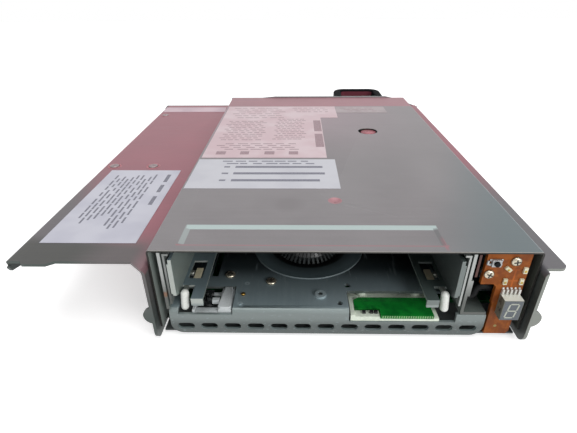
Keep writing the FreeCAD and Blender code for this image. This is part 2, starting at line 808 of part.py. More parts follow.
# ---------------------------------------------------------------- chassis deck and lip
def base_chassis():
    """Deck plate with a folded front lip, cut out for the reader, the sensor and the spindle."""
    mid = chassis_sheet / 2
    lip_low = drive_base + lip_bottom_gap
    path = [(back - 3.0, deck_top - mid), (front + mid, deck_top - mid), (front + mid, lip_low)]
    sheet = sheet_strip(path, chassis_sheet, lip_bend, lambda y, z: V(deck_left, y, z),
                        V(deck_right - deck_left, 0, 0))
    corners = [edge for edge in sheet.Edges
               if edge.BoundBox.ZMax < lip_low + 0.01 and edge.BoundBox.XLength < 0.01]
    sheet = sheet.makeFillet(lip_corner, corners)
    wide = half_width - cover_sheet - 0.2
    sheet = joined([sheet, block(-wide, wide, front + reader_cut_depth + 2.0, back - 3.0,
                                 deck_under, deck_top)])
    deep = front - 1
    high = deck_top + 1
    slot_z = cover_top - slot_centre_drop
    first = slot_centre_x - slot_pitch * (slot_count - 1) / 2
    cuts = [slot_y(slot_length, slot_height, front - 1, front + 2 * chassis_sheet,
                   first + slot_pitch * k, slot_z) for k in range(slot_count)]
    cuts.append(block(sensor_cut_left, sensor_cut_right, deep, front + sensor_cut_depth,
                      cover_top - sensor_cut_drop, high))
    cuts.append(block(reader_cut_left, reader_cut_right, deep, front + reader_cut_depth,
                      cover_top - reader_cut_drop, high))
    cuts.append(block(reader_cut_right, deck_right + 1, deep, front + reader_cut_depth,
                      wall_foot_under() - 0.1, high))
    cuts.append(rod_z(hub_ring_radius, deck_under - 1, high, hub_x, hub_y))
    cuts.append(rod_z(4.4, deck_under - 1, high, reel_x, reel_y))
    cuts.append(block(shadow_slot_x - shadow_slot_width / 2, shadow_slot_x + shadow_slot_width / 2,
                      front + shadow_slot_start, front + shadow_slot_end, deck_under - 1, high))
    cuts += [rod_z(radius, deck_under - 1, high, x, front + setback)
             for x, setback, radius in ((4.8, 16.0, 1.3), (0.6, 4.6, 1.2))]
    cuts.append(rod_z(1.1, deck_top - 0.4, high, -39.4, front + 2.9))
    boss = rod_z(boss_radius, deck_under, deck_top + boss_height, boss_x, front + boss_setback)
    eye = rod_z(boss_bore, deck_under - 1, high, boss_x, front + boss_setback)
    return joined([sheet.cut(cuts), boss]).cut(eye)


def deck_screws():
    """Pan head screws on the deck and the small brass pin beside the sensor."""
    return [pan_head(deck_screw_head, 1.1, x, front + setback, deck_top) for x, setback in deck_screw_places]


def brass_pins():
    return [rod_z(0.9, deck_top, deck_top + 0.8, -39.5, front + 9.6)]


# ---------------------------------------------------------------- cartridge bay
def slot_x(radius, x0, x1, start, end):
    """Round-ended slot through a sheet that faces sideways, between two y, z places."""
    dy, dz = end[0] - start[0], end[1] - start[1]
    length = math.hypot(dy, dz)
    ny, nz = -dz / length * radius, dy / length * radius
    corners = [V(x0, start[0] + ny, start[1] + nz), V(x0, end[0] + ny, end[1] + nz),
               V(x0, end[0] - ny, end[1] - nz), V(x0, start[0] - ny, start[1] - nz)]
    middle = plate(corners, V(x1 - x0, 0, 0))
    return joined([middle, rod_x(radius, x0, x1, *start), rod_x(radius, x0, x1, *end)])


def wall_foot_under():
    return deck_top - 1.6


def bay_wall_left():
    """Upright sheet beside the cartridge bay with guide slots for the tray's pins."""
    x0 = bay_x - bay_wall_outer
    x1 = bay_x - bay_wall_inner
    wall = block(x0, x1, front + 0.3, tray_back + 1.5, deck_top, cover_under - 0.5)
    return cut_guide_slots(wall, x0 - 1, x1 + 1)


def cut_guide_slots(wall, x0, x1):
    radius = cam_pin_radius + cam_slot_play
    for setback in cam_pin_setbacks:
        y = front + setback
        wall = wall.cut(slot_x(radius, x0, x1, (y, cam_pin_z), (y, cam_pin_z - tray_fall)))
    return wall


def bay_wall_right():
    """The same wall on the right, with a foot that turns out over the front lip."""
    x0 = bay_x + bay_wall_inner
    x1 = bay_x + bay_wall_outer
    y0 = front + 0.3
    step = front + reader_cut_depth
    foot = wall_foot_under()
    wall = block(x0, x1, y0, tray_back + 1.5, deck_top, cover_under - 0.5)
    lower = block(x0, x1, y0, step - 0.1, foot, deck_top)
    toe = block(x1, deck_right - 0.3, y0, step - 0.1, foot, foot + chassis_sheet)
    stiffener = block(x1, x1 + 1.0, y0 + 0.2, y0 + 9.0, deck_top + 7.5, deck_top + 15.0)
    return cut_guide_slots(joined([wall, lower, toe, stiffener]), x0 - 1, x1 + 1)


def cam_plate():
    """Left cam plate: slides back and its slanted slots pull the tray's pins down."""
    x0 = bay_x - cam_outer
    x1 = bay_x - cam_inner
    top = cover_under - 1.2
    sheet = joined([block(x0, x1, front + 0.5, tray_back + 1.0, cam_bottom, top),
                    block(x0, x1 + cam_flange, front + 0.5, tray_back + 1.0, top - cam_sheet, top)])
    for setback in cam_pin_setbacks:
        y = front + setback
        sheet = sheet.cut(slot_x(cam_pin_radius + cam_slot_play, x0 - 1, x1 + 1, (y, cam_pin_z),
                                 (y - cam_travel, cam_pin_z - tray_fall)))
    return sheet


def link_ear_z():
    return reel_top() + 2.4


def cam_plate_left():
    x0 = bay_x - cam_outer
    x1 = bay_x - cam_inner
    tail = block(x0, x1, tray_back + 0.9, gear_y + 5.0, gear_z - 1.0, link_ear_z() + 1.2)
    return joined([cam_plate(), tail, rack(x1)])


def rack_pitch_x():
    return bay_x - cam_inner + 1.2 + 1.2 * gear_module


def rack(x0):
    """Toothed bar on the cam plate's tail, in mesh with the loader gear."""
    pitch = math.pi * gear_module
    pitch_x = rack_pitch_x()
    root_x = pitch_x - 1.2 * gear_module
    tip_x = pitch_x + 0.8 * gear_module
    slope = math.tan(math.radians(20))
    half = pitch / 4 - gear_play / 2
    y_low = tray_back + 0.9
    y_high = gear_y + 5.0
    points = [V(x0, y_low, gear_z), V(root_x, y_low, gear_z)]
    first = math.ceil((y_low - gear_y) / pitch + 0.1)
    for k in range(first, 2):
        y = gear_y + (k + 0.5) * pitch
        root = half + (pitch_x - root_x) * slope
        tip = half - (tip_x - pitch_x) * slope
        points += [V(root_x, y - root, gear_z), V(tip_x, y - tip, gear_z),
                   V(tip_x, y + tip, gear_z), V(root_x, y + root, gear_z)]
    points += [V(root_x, y_high, gear_z), V(x0, y_high, gear_z)]
    return plate(points, V(0, 0, gear_width))


def cam_plate_right():
    x0 = bay_x + cam_inner
    x1 = bay_x + cam_outer
    tail = block(x0, x1, tray_back + 0.9, tray_back + 6.0, link_ear_z() - 6.0, link_ear_z() + 1.2)
    return joined([mirror_solid(cam_plate()), tail])


def cam_link():
    """Flat bar over the reel that makes both cam plates move as one."""
    z = link_ear_z()
    return block(bay_x - cam_inner, bay_x + cam_inner, tray_back + 1.6, tray_back + 5.6, z, z + 1.2)


def tray_side_left():
    """Left side of the cartridge tray: wall, ledge with a window, and a turned-down tip."""
    outer = bay_x - tray_outer
    inner = bay_x - tray_half_width
    edge = inner + ledge_width
    tip = edge - tip_width
    wall = block(outer, inner, tray_front, tray_back, ledge_under, tray_top)
    corner = plate([V(outer - 1, tray_front - 1, ledge_under - 1),
                    V(outer - 1, tray_front + 6, ledge_under - 1),
                    V(outer - 1, tray_front - 1, ledge_under + 3.0)], V(3, 0, 0))
    flange = block(outer - 0.6, outer, tray_front, tray_front + 0.8, ledge_under + 3.2, tray_top - 2.0)
    ledge = block(inner - 0.5, edge, tray_front, tray_back, ledge_under, ledge_top)
    notch = block(outer - 1, tip, tray_front - 1, tray_front + 8.5, ledge_under - 1, ledge_top + 0.01)
    window = block(inner + 1.4, edge - 2.8, front + 13.5, front + 26.0, ledge_under - 1, ledge_top + 1)
    lip = block(tip, edge, tray_front, tray_front + ledge_sheet,
                ledge_top - tip_drop - ledge_sheet, ledge_top)
    ledge = joined([ledge.cut([notch, window]), lip])
    return joined([wall.cut(corner), flange, ledge])


def tray_side_right():
    return mirror_solid(tray_side_left())


def ledge_pads():
    """Cream wear pads in the ledge windows, on the ledge's own plane."""
    x0 = bay_x - tray_half_width + 3.4
    pad = block(x0, x0 + 3.0, front + 13.6, front + 21.0, ledge_under, ledge_top - 0.1)
    return [pad, mirror_solid(pad)]


def guide_shoe_left():
    """White moulded finger that the cartridge edge runs against, on an arm from the ledge."""
    x = bay_x - tray_half_width + shoe_radius + 0.3
    y = front + shoe_setback
    z0 = cover_top - 21.1 - shoe_height
    z1 = z0 + shoe_height
    finger = joined([rod_z(shoe_radius, z0 + shoe_radius, z1 - shoe_radius, x, y),
                     Part.makeSphere(shoe_radius, V(x, y, z0 + shoe_radius)),
                     Part.makeSphere(shoe_radius, V(x, y, z1 - shoe_radius))])
    finger = turned(finger, V(x, y, (z0 + z1) / 2), V(0, 1, 0), shoe_tilt)
    arm = block(x - 1.0, x + 1.0, y, tray_front + 8.5, ledge_under, ledge_top)
    return joined([finger, arm])


def tray_bridge():
    """Rear wall of the tray, with a window for the tape leader."""
    x0 = bay_x - tray_half_width
    x1 = bay_x + tray_half_width
    y1 = tray_back
    sheet = block(x0, x1, y1 - tray_sheet, y1, ledge_top, tray_top - 1.0)
    far = x1 - leader_window_inset
    window = block(far - leader_window_width, far, y1 - 3, y1 + 1, ledge_top + 3.0, tray_top - 4.0)
    return sheet.cut(window)


def tray_pins():
    pins = []
    for side in (-1, 1):
        ends = sorted((bay_x + side * tray_outer, bay_x + side * (bay_wall_outer + 0.4)))
        pins += [rod_x(cam_pin_radius, *ends, front + setback, cam_pin_z) for setback in cam_pin_setbacks]
    return pins


# ---------------------------------------------------------------- loader drive
def gear_centre_x():
    return rack_pitch_x() + gear_module * gear_teeth / 2


def pinion_y():
    return gear_y + gear_module * (gear_teeth + pinion_teeth) / 2


def loader_gear():
    return spur_gear(gear_teeth, gear_width, gear_centre_x(), gear_y, gear_z,
                     gear_pin_radius + pin_play, 0)


def loader_pinion():
    """Pinion and the motor shaft that it is pressed on."""
    x = gear_centre_x()
    wheel = spur_gear(pinion_teeth, gear_width, x, pinion_y(), gear_z, gear_pin_radius, 0)
    shaft = rod_z(gear_pin_radius, gear_z - 0.5, bracket_top() + 3.0, x, pinion_y())
    return joined([wheel, shaft])


def bracket_top():
    return gear_z + gear_width + 1.6


def loader_bracket():
    """Bridge plate over the gears, with a leg and the pin that carries the gear."""
    x = gear_centre_x()
    z1 = bracket_top()
    z0 = z1 - 1.0
    tip = gear_module * (gear_teeth + 2) / 2
    leg = x + tip + 0.4
    deck = joined([block(x - 7.8, x + 5.0, gear_y - 8.0, pinion_y() + 8.0, z0, z1),
                   block(x, leg + 1.0, gear_y - 8.0, gear_y + 2.0, z0, z1)])
    deck = deck.cut(rod_z(gear_pin_radius + 0.4, z0 - 1, z1 + 1, x, pinion_y()))
    return joined([deck, block(leg, leg + 1.0, gear_y - 8.0, gear_y + 2.0, deck_top, z1),
                   rod_z(gear_pin_radius, deck_top, z1, x, gear_y),
                   rod_z(gear_pin_radius + 1.0, deck_top, gear_z - running_gap, x, gear_y)])


def loader_motor():
    x = gear_centre_x()
    z0 = bracket_top()
    can = rod_z(loader_motor_radius, z0, z0 + loader_motor_height - 2.0, x, pinion_y())
    cap = rod_z(loader_motor_radius - 1.5, z0, z0 + loader_motor_height - 0.5, x, pinion_y())
    return joined([can, cap]).cut(rod_z(gear_pin_radius + pin_play, z0 - 1, z0 + 4.0, x, pinion_y()))


# ---------------------------------------------------------------- spindle, reel, rollers, head
def supply_motor():
    """Plate that fills the deck's round opening and stands a little proud, recess, can and pin."""
    low = deck_under - 2.6
    top = deck_top + hub_ring_rise
    ring = rod_z(hub_ring_radius - 0.1, low, top, hub_x, hub_y)
    ring = ring.makeChamfer(0.2, [edge for edge in ring.Edges if edge.BoundBox.ZMin > top - 0.01])
    ring = ring.cut(rod_z(rotor_radius + 0.5, low + 1.2, top + 1, hub_x, hub_y))
    can = rod_z(18.0, pan_top + 1.2, low, hub_x, hub_y)
    pin = rod_z(spindle_pin_radius, low, deck_top + 2.0, hub_x, hub_y)
    return joined([ring, can, pin])


def supply_chuck():
    """Rotor with the raised chuck whose face teeth drive the cartridge's reel."""
    z0 = deck_under - 1.0
    z1 = z0 + 1.2
    top = deck_top + 1.2
    body = joined([rod_z(rotor_radius, z0, z1, hub_x, hub_y), rod_z(chuck_radius, z1, top, hub_x, hub_y)])
    well = chuck_tooth_root - 1.0
    body = joined([body, tube_z(chuck_tooth_root, well, z1, top + chuck_tooth_height, hub_x, hub_y)])
    body = body.cut(rod_z(well, z1 + 1.2, top + chuck_tooth_height + 1, hub_x, hub_y))
    rings = []
    for radius, half, rise in ((chuck_radius - 0.2, 0.85, 0.7),
                               (chuck_tooth_root - 0.3, 0.25, chuck_tooth_height)):
        x = hub_x + radius
        corners = [V(x, hub_y - half, top - 0.1), V(x, hub_y + half, top - 0.1),
                   V(x, hub_y + half, top + rise), V(x, hub_y - half, top + rise)]
        rings.append(Part.makePolygon(corners + [corners[0]]))
    tooth = Part.makeLoft(rings, True)
    teeth = [turned(tooth, V(hub_x, hub_y, 0), V(0, 0, 1), 360 * k / chuck_teeth)
             for k in range(chuck_teeth)]
    bore = rod_z(spindle_pin_radius + pin_play, z0 - 1, top + 6, hub_x, hub_y)
    return joined([body] + teeth).cut(bore)


def reel_bottom():
    return deck_top + 1.0


def reel_top():
    return reel_bottom() + 2 * reel_flange + tape_width + 1.0


def takeup_motor():
    can = rod_z(18.0, pan_top + 1.2, deck_under, reel_x, reel_y)
    collar = rod_z(4.0, deck_under, reel_bottom() - running_gap, reel_x, reel_y)
    return joined([can, collar, rod_z(spindle_pin_radius, deck_under, reel_top() + 0.4, reel_x, reel_y)])


def takeup_reel():
    z0 = reel_bottom()
    z1 = reel_top()
    lower = rod_z(reel_radius, z0, z0 + reel_flange, reel_x, reel_y)
    upper = rod_z(reel_radius, z1 - reel_flange, z1, reel_x, reel_y)
    window = rod_z(4.5, z0 - 1, z1 + 1, reel_x + 27.0, reel_y)
    windows = [turned(window, V(reel_x, reel_y, 0), V(0, 0, 1), angle) for angle in range(0, 360, 60)]
    hub = rod_z(reel_hub_radius, z0, z1, reel_x, reel_y)
    well = tube_z(reel_hub_radius - 3.0, 5.0, z0 + 3.0, z1 + 1, reel_x, reel_y)
    reel = joined([lower.cut(windows), upper.cut(windows), hub]).cut(well)
    return reel.cut(rod_z(spindle_pin_radius + pin_play, z0 - 1, z1 + 1, reel_x, reel_y))


def roller_planes():
    return reel_bottom() + 0.2, reel_top() - 0.2


def roller_posts():
    z0, z1 = roller_planes()
    return [joined([rod_z(roller_pin_radius, deck_top, z1 + 1.3, x, y),
                    rod_z(4.0, deck_top, z0 - running_gap, x, y),
                    rod_z(2.6, z1 + running_gap, z1 + 1.3, x, y)]) for x, y in roller_places]


def guide_roller(x, y):
    z0, z1 = roller_planes()
    drum = rod_z(roller_radius, z0, z1, x, y)
    rims = [rod_z(roller_flange_radius, z0, z0 + 1.0, x, y), rod_z(roller_flange_radius, z1 - 1.0, z1, x, y)]
    return joined([drum] + rims).cut(rod_z(roller_pin_radius + pin_play, z0 - 1, z1 + 1, x, y))


def head_rods_y():
    return (head_y - 6.0, head_y + 6.0)


def head_base():
    """Foot of the head actuator with its two upright guide rods."""
    foot = block(head_x + 5.5, head_x + 12.5, head_y - 9.0, head_y + 9.0, deck_top, deck_top + 2.0)
    rods = [rod_z(head_rod_radius, deck_top + 2.0, cover_under - 2.0, head_x + 9.0, y)
            for y in head_rods_y()]
    top = block(head_x + 7.0, head_x + 11.0, head_y - 8.0, head_y + 8.0, cover_under - 3.0, cover_under - 1.6)
    return joined([foot, top] + rods)


def tape_head():
    """Head bar and the carriage that slides on the rods."""
    middle = (reel_bottom() + reel_top()) / 2
    nose = block(head_x, head_x + 5.0, head_y - 5.0, head_y + 5.0, middle - 5.0, middle + 5.0)
    nose = nose.makeFillet(1.6, [edge for edge in nose.Edges
                                 if edge.BoundBox.ZLength > 5 and edge.BoundBox.XMax < head_x + 0.1])
    carriage = block(head_x + 5.0, head_x + 12.0, head_y - 9.0, head_y + 9.0, middle - 3.5, middle + 3.5)
    bores = [rod_z(head_rod_radius + pin_play, middle - 8, middle + 8, head_x + 9.0, y)
             for y in head_rods_y()]
    return joined([nose, carriage]).cut(bores)


# ---------------------------------------------------------------- boards
def main_board_top():
    return pan_top + main_board_gap + board_sheet


def main_board_holes():
    depths = (front + main_board_hole_front, main_board_hole_middle, back - main_board_hole_rear)
    return [(side * (half_width - main_board_hole_inset), y) for side in (-1, 1) for y in depths]


def main_board():
    z0 = pan_top + main_board_gap
    wide = half_width - 5.0
    sheet = block(-wide, wide, front + 16.0, back - 6.0, z0, z0 + board_sheet)
    cuts = [rod_z(main_board_clear, z0 - 1, z0 + 3, hub_x, hub_y),
            rod_z(main_board_clear, z0 - 1, z0 + 3, reel_x, reel_y)]
    cuts += [rod_z(1.6, z0 - 1, z0 + 3, x, y) for x, y in main_board_holes()]
    return sheet.cut(cuts)


def board_pillars():
    """Pillars on the pan and the screws that clamp the main board on them."""
    z0 = pan_top + main_board_gap
    return [joined([rod_z(2.6, pan_top, z0, x, y), rod_z(1.5, z0, z0 + board_sheet, x, y),
                    rod_z(2.4, z0 + board_sheet, z0 + board_sheet + 1.4, x, y)])
            for x, y in main_board_holes()]


def board_chips():
    z0 = main_board_top()
    sizes = ((32.0, front + 62.0, 20.0, 20.0), (36.0, front + 90.0, 12.0, 16.0),
             (-48.0, front + 98.0, 14.0, 14.0), (34.0, back - 68.0, 18.0, 14.0),
             (-52.0, back - 42.0, 12.0, 18.0), (40.0, back - 36.0, 14.0, 10.0))
    return [block(x - dx / 2, x + dx / 2, y - dy / 2, y + dy / 2, z0, z0 + 1.5) for x, y, dx, dy in sizes]


def front_panel_board():
    """Upright board on the right of the lip, with a notch for the cable on its left."""
    top = cover_top - board_top_drop
    low = cover_top - board_bottom_drop
    neck = cover_top - board_neck_drop
    points = [(board_left, top), (board_right, top), (board_right, low + 1.6), (board_right - 1.0, low),
              (board_neck_left + 0.4, low), (board_neck_left + 0.4, neck - 9.0),
              (board_neck_left, neck - 9.6), (board_neck_left, neck - 1.2), (board_neck_left - 1.2, neck),
              (board_left, neck)]
    sheet = plate([V(x, board_front, z) for x, z in points], V(0, board_sheet, 0))
    holes = [rod_y(panel_screw_radius - 0.6, board_front - 1, board_back + 1, x, cover_top - drop)
             for x, drop in panel_screws]
    return sheet.cut(holes)


def panel_bracket():
    """Upright bracket behind the front panel board, with a foot on the pan and screw bosses."""
    y0 = board_back + 1.5
    y1 = y0 + 1.0
    x1 = board_right + 1.0
    top = cover_top - board_top_drop - 0.6
    neck = cover_top - board_neck_drop + 1.0
    sheet = block(board_neck_left + 2.5, x1, y0, y1, pan_top, neck + 1.0)
    sheet = joined([sheet, block(board_left + 0.4, x1, y0, y1, neck, top),
                    block(board_neck_left + 2.5, x1, y1, y1 + 8.0, pan_top, pan_top + 1.0)])
    plug = cable_plug().BoundBox
    sheet = sheet.cut(block(plug.XMin - 0.2, plug.XMax + 0.2, y0 - 1, y1 + 1,
                            plug.ZMin - 0.2, plug.ZMax + 0.2))
    bosses = [rod_y(2.4, board_back, y0, x, cover_top - drop) for x, drop in panel_screws]
    sheet = joined([sheet] + bosses)
    return sheet.cut([rod_y(panel_screw_radius - 0.7, board_back - 1, y1 + 1, x, cover_top - drop)
                      for x, drop in panel_screws])


def panel_board_screws():
    screws = []
    for x, drop in panel_screws:
        z = cover_top - drop
        head = turned(pan_head(panel_screw_radius, 1.2, x, board_front, z),
                      V(x, board_front, z), V(1, 0, 0), 90)
        screws.append(joined([head, rod_y(panel_screw_radius - 0.75, board_front, board_back + 2.0, x, z)]))
    return screws


def switch_body():
    """Small push switch with corner legs and a bore for its button."""
    z = cover_top - switch_drop
    half = switch_width / 2
    tall = switch_height / 2
    y0 = board_front - switch_depth
    body = block(switch_x - half, switch_x + half, y0, board_front, z - tall, z + tall)
    legs = [block(switch_x + side * half - 0.7, switch_x + side * half + 0.7, board_front - 0.4, board_front,
                  z + level - 0.45, z + level + 0.45) for side in (-1, 1) for level in (-1.0, 1.0)]
    side_part = block(switch_x - half - 1.6, switch_x - half - 0.9, board_front - 0.8, board_front,
                      z - 0.9, z + 0.9)
    switch = joined([body] + legs)
    bore = rod_y(button_radius + pin_play, y0 - 1, board_front - 0.1, switch_x, z)
    return [switch.cut(bore), side_part]


def eject_button():
    z = cover_top - switch_drop
    y0 = board_front - switch_depth - button_stand_out
    return rod_y(button_radius, y0, board_front - 0.2 - button_travel, switch_x, z)


def display_module():
    y0 = board_front - display_depth
    return block(display_left, display_right, y0, board_front,
                 cover_top - display_bottom_drop, cover_top - display_top_drop)


def display_pin_row():
    """Row of bent contact pins above the display."""
    top = cover_top - display_top_drop
    pitch = (display_right - display_left - 1.2) / (display_pins - 1)
    return [block(display_left + 0.35 + pitch * k, display_left + 0.85 + pitch * k,
                  board_front - 0.9, board_front, top, top + 2.4) for k in range(display_pins)]


def panel_lamps():
    lamps = []
    for inset, drop, angle in lamp_insets:
        x = half_width - inset
        z = cover_top - drop
        lamp = block(x - lamp_width / 2, x + lamp_width / 2, board_front - 0.8, board_front,
                     z - lamp_height / 2, z + lamp_height / 2)
        lamps.append(turned(lamp, V(x, 0, z), V(0, 1, 0), angle))
    return lamps


def cable_plug():
    x0 = board_neck_left + 0.8
    z0 = cover_top - 21.0
    return block(x0, x0 + 3.6, board_back, board_back + 1.5 + 1.0 + 2.5, z0, z0 + 4.4)


def panel_cable():
    """Black lead from the plug behind the board, down and left to the bay's right wall."""
    y = board_back + 1.5 + 1.0
    z = cover_top - 18.8
    x0 = board_neck_left + 0.8
    x1 = board_neck_left - 5.5
    x2 = bay_x + bay_wall_outer + 0.1
    turn = cable_bend * math.sqrt(0.5)
    run = [Part.makeLine(V(x0, y, z), V(x1 + cable_bend, y, z)),
           Part.Arc(V(x1 + cable_bend, y, z), V(x1 + cable_bend - turn, y, z - cable_bend + turn),
                    V(x1, y, z - cable_bend)).toShape(),
           Part.Arc(V(x1, y, z - cable_bend),
                    V(x1 - cable_bend + turn, y, z - cable_bend - turn),
                    V(x1 - cable_bend, y, z - 2 * cable_bend)).toShape(),
           Part.makeLine(V(x1 - cable_bend, y, z - 2 * cable_bend), V(x2, y, z - 2 * cable_bend))]
    ring = Part.Wire(Part.makeCircle(cable_radius, V(x0, y, z), V(-1, 0, 0)))
    return Part.Wire(run).makePipeShell([ring], True, False)


def reader_board():
    """Board of the cartridge memory reader, stepped back at its front left."""
    z0 = cover_top - reader_board_drop - board_sheet
    y0 = front + 0.2
    y1 = y0 + reader_depth
    points = [(reader_left, y0 + reader_step), (reader_step_x, y0 + reader_step), (reader_step_x, y0),
              (reader_right, y0), (reader_right, y1 - 1.5), (reader_left + 2.4, y1 - 1.5 + 0.0),
              (reader_left, y1 - 3.1)]
    return plate([V(x, y, z0) for x, y in points], V(0, 0, board_sheet))


def reader_frame():
    """Cream plastic cradle under the reader board, screwed up against the deck."""
    z1 = cover_top - reader_board_drop - board_sheet
    z0 = cover_top - reader_cut_drop + 0.1
    y0 = front + 0.3
    y1 = front + reader_cut_depth + 5.0
    base = block(reader_left - 2.0, reader_sill_right, y0, y1, z0, z1)
    rim = block(reader_left - 2.0, reader_left - 0.2, y0, front + reader_cut_depth - 0.5,
                z1, z1 + board_sheet)
    sill = block(reader_left - 0.2, reader_step_x - 0.3, y0, front + reader_step, z1, z1 + 0.8)
    posts = [rod_z(2.0, z1, deck_under, x, front + reader_cut_depth + 2.8)
             for x in (reader_left + 4.0, reader_right - 4.0)]
    return joined([base, rim, sill] + posts)


def reader_parts():
    """Small black parts on the cradle's sill."""
    z0 = cover_top - reader_board_drop - board_sheet + 0.8
    y = front + chassis_sheet + 1.4
    return [block(x - 0.7, x + 0.7, y - 0.5, y + 0.7, z0, z0 + 1.0)
            for x in (reader_left + 3.6, reader_left + 6.6, reader_left + 8.4)]


# ---------------------------------------------------------------- cartridge sensor
def sensor_bracket():
    """White moulding: front bar, spine under the deck and a finger; it holds the lever's pin."""
    x1 = sensor_cut_right - 0.6
    x0 = x1 - 5.4
    y0 = front + chassis_sheet + 0.2
    low = drive_base + 8.0
    bar = block(sensor_cut_left + 6.5, x0 + 1.0, y0, y0 + 3.0, low, low + 2.2)
    y1 = front + sensor_cut_depth - 0.5
    crown = plate([V(x0, y0 + 0.8, deck_under), V(x0 + 0.8, y0, deck_under), V(x1 - 0.8, y0, deck_under),
                   V(x1, y0 + 0.8, deck_under), V(x1 - 1.0, y1, deck_under), V(x0 + 1.4, y1, deck_under)],
                  V(0, 0, deck_top + 0.3 - deck_under))
    spine = joined([block(x0, x1, y0, front + 18.0, low, deck_under), crown])
    finger = block(x0 - 3.0, x0, y0 + 4.0, y0 + 6.0, deck_under - 0.5, deck_top + 0.2)
    cheek = block(x1 - 16.0, x1 - 15.0, y0, front + 15.4, low, lever_z + 1.6)
    pin = rod_x(lever_pin_radius, x1 - 16.0, x0 + 1.0, lever_y, lever_z)
    return joined([bar, spine, finger, cheek, pin])


def sensor_lever():
    """Black lever that the cartridge presses down, turning on the bracket's pin."""
    x1 = sensor_cut_right - 6.0 - running_gap - 3.2
    x0 = sensor_cut_right - 15.6 + running_gap
    barrel = rod_x(2.0, x0, x1, lever_y, lever_z)
    arm = block(x0, x1, lever_y - 6.4, lever_y, lever_z - 1.0, lever_z + 0.8)
    ribs = [block(x0 + 0.4 + 2.0 * k, x0 + 1.2 + 2.0 * k, lever_y - 6.4, lever_y, lever_z, lever_z + 1.8)
            for k in range(3)]
    nib = block(x1 - 1.6, x1, lever_y - 6.4, lever_y - 4.8, lever_z, lever_z + 3.2)
    lever = joined([barrel, arm, nib] + ribs)
    return lever.cut(rod_x(lever_pin_radius + pin_play, x0 - 1, x1 + 1, lever_y, lever_z))


save("sled_tray", sled_tray())
save("sled_side_screws", *sled_side_screws())
save("wing_rivets", *wing_rivets())
save("rear_housing_cover", rear_housing_cover())
save("rear_panel", rear_panel())
save("pull_handle", pull_handle())
save("handle_screws", *handle_screws())
save("fan_frame", fan_frame())
save("fan_rotor", fan_rotor())
save("interposer_board", interposer_board())
save("data_ports", *data_ports())
save("light_pipes", *light_pipes())
save("drive_connector", drive_connector())
save("thumbscrew_left", thumbscrew("left"))
save("thumbscrew_right", thumbscrew("right"))
save("top_cover", top_cover())
save("bottom_pan", bottom_pan())
save("base_chassis", base_chassis())
save("deck_screws", *deck_screws(), *brass_pins())
save("bay_wall_left", bay_wall_left())
save("bay_wall_right", bay_wall_right())
save("cam_plate_left", cam_plate_left())
save("cam_plate_right", cam_plate_right())
save("cam_link", cam_link())
save("tray_side_left", tray_side_left())
save("tray_side_right", tray_side_right())
save("tray_bridge", tray_bridge())
save("tray_pins", *tray_pins())
save("ledge_pads", *ledge_pads())
save("guide_shoes", guide_shoe_left(), mirror_solid(guide_shoe_left()))
save("loader_gear", loader_gear())
save("loader_pinion", loader_pinion())
save("loader_bracket", loader_bracket())
save("loader_motor", loader_motor())
save("supply_motor", supply_motor())
save("supply_chuck", supply_chuck())
save("takeup_motor", takeup_motor())
save("takeup_reel", takeup_reel())
save("roller_posts", *roller_posts())
for number, place in enumerate(roller_places, start=1):
    save("guide_roller_" + str(number), guide_roller(*place))
save("head_base", head_base())
save("tape_head", tape_head())
save("main_board", main_board())
save("board_pillars", *board_pillars())
save("board_chips", *board_chips(), *reader_parts())
save("front_panel_board", front_panel_board())
save("panel_bracket", panel_bracket())
save("panel_board_screws", *panel_board_screws())
save("switch_body", *switch_body())
save("eject_button", eject_button())
save("display_module", display_module(), *display_pin_row())
save("panel_lamps", *panel_lamps())
save("panel_cable", panel_cable(), cable_plug())
save("reader_board", reader_board())
save("reader_frame", reader_frame())
save("sensor_bracket", sensor_bracket())
save("sensor_lever", sensor_lever())
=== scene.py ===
import json
import math

import bmesh
import bpy
from mathutils import Matrix, Vector

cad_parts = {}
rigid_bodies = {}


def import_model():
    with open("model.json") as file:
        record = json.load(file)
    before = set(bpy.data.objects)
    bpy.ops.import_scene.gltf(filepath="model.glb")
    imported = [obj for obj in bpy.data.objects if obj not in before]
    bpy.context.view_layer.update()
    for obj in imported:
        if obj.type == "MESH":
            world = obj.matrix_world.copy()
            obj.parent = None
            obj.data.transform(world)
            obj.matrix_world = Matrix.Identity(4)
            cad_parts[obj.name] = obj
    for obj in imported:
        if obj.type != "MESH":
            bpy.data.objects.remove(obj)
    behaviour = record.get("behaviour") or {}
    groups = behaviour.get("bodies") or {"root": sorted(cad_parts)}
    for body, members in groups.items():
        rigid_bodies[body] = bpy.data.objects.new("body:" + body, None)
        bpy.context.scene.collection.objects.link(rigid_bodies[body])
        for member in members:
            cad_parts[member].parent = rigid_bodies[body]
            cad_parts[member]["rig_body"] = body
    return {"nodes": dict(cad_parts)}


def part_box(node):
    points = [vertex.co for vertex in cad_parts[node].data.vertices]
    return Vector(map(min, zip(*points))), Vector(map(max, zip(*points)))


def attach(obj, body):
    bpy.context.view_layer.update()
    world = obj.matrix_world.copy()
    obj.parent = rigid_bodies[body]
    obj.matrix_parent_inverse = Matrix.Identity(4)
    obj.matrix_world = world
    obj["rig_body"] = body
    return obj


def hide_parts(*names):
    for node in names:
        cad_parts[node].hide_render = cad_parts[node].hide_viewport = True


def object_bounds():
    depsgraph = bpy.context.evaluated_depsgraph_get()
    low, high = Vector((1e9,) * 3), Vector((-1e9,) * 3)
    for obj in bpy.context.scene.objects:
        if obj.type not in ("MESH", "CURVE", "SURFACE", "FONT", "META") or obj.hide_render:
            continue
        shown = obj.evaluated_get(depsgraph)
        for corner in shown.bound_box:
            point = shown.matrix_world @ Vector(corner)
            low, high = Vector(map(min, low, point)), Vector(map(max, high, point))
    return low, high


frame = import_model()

cad_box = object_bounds()
nodes = frame["nodes"]
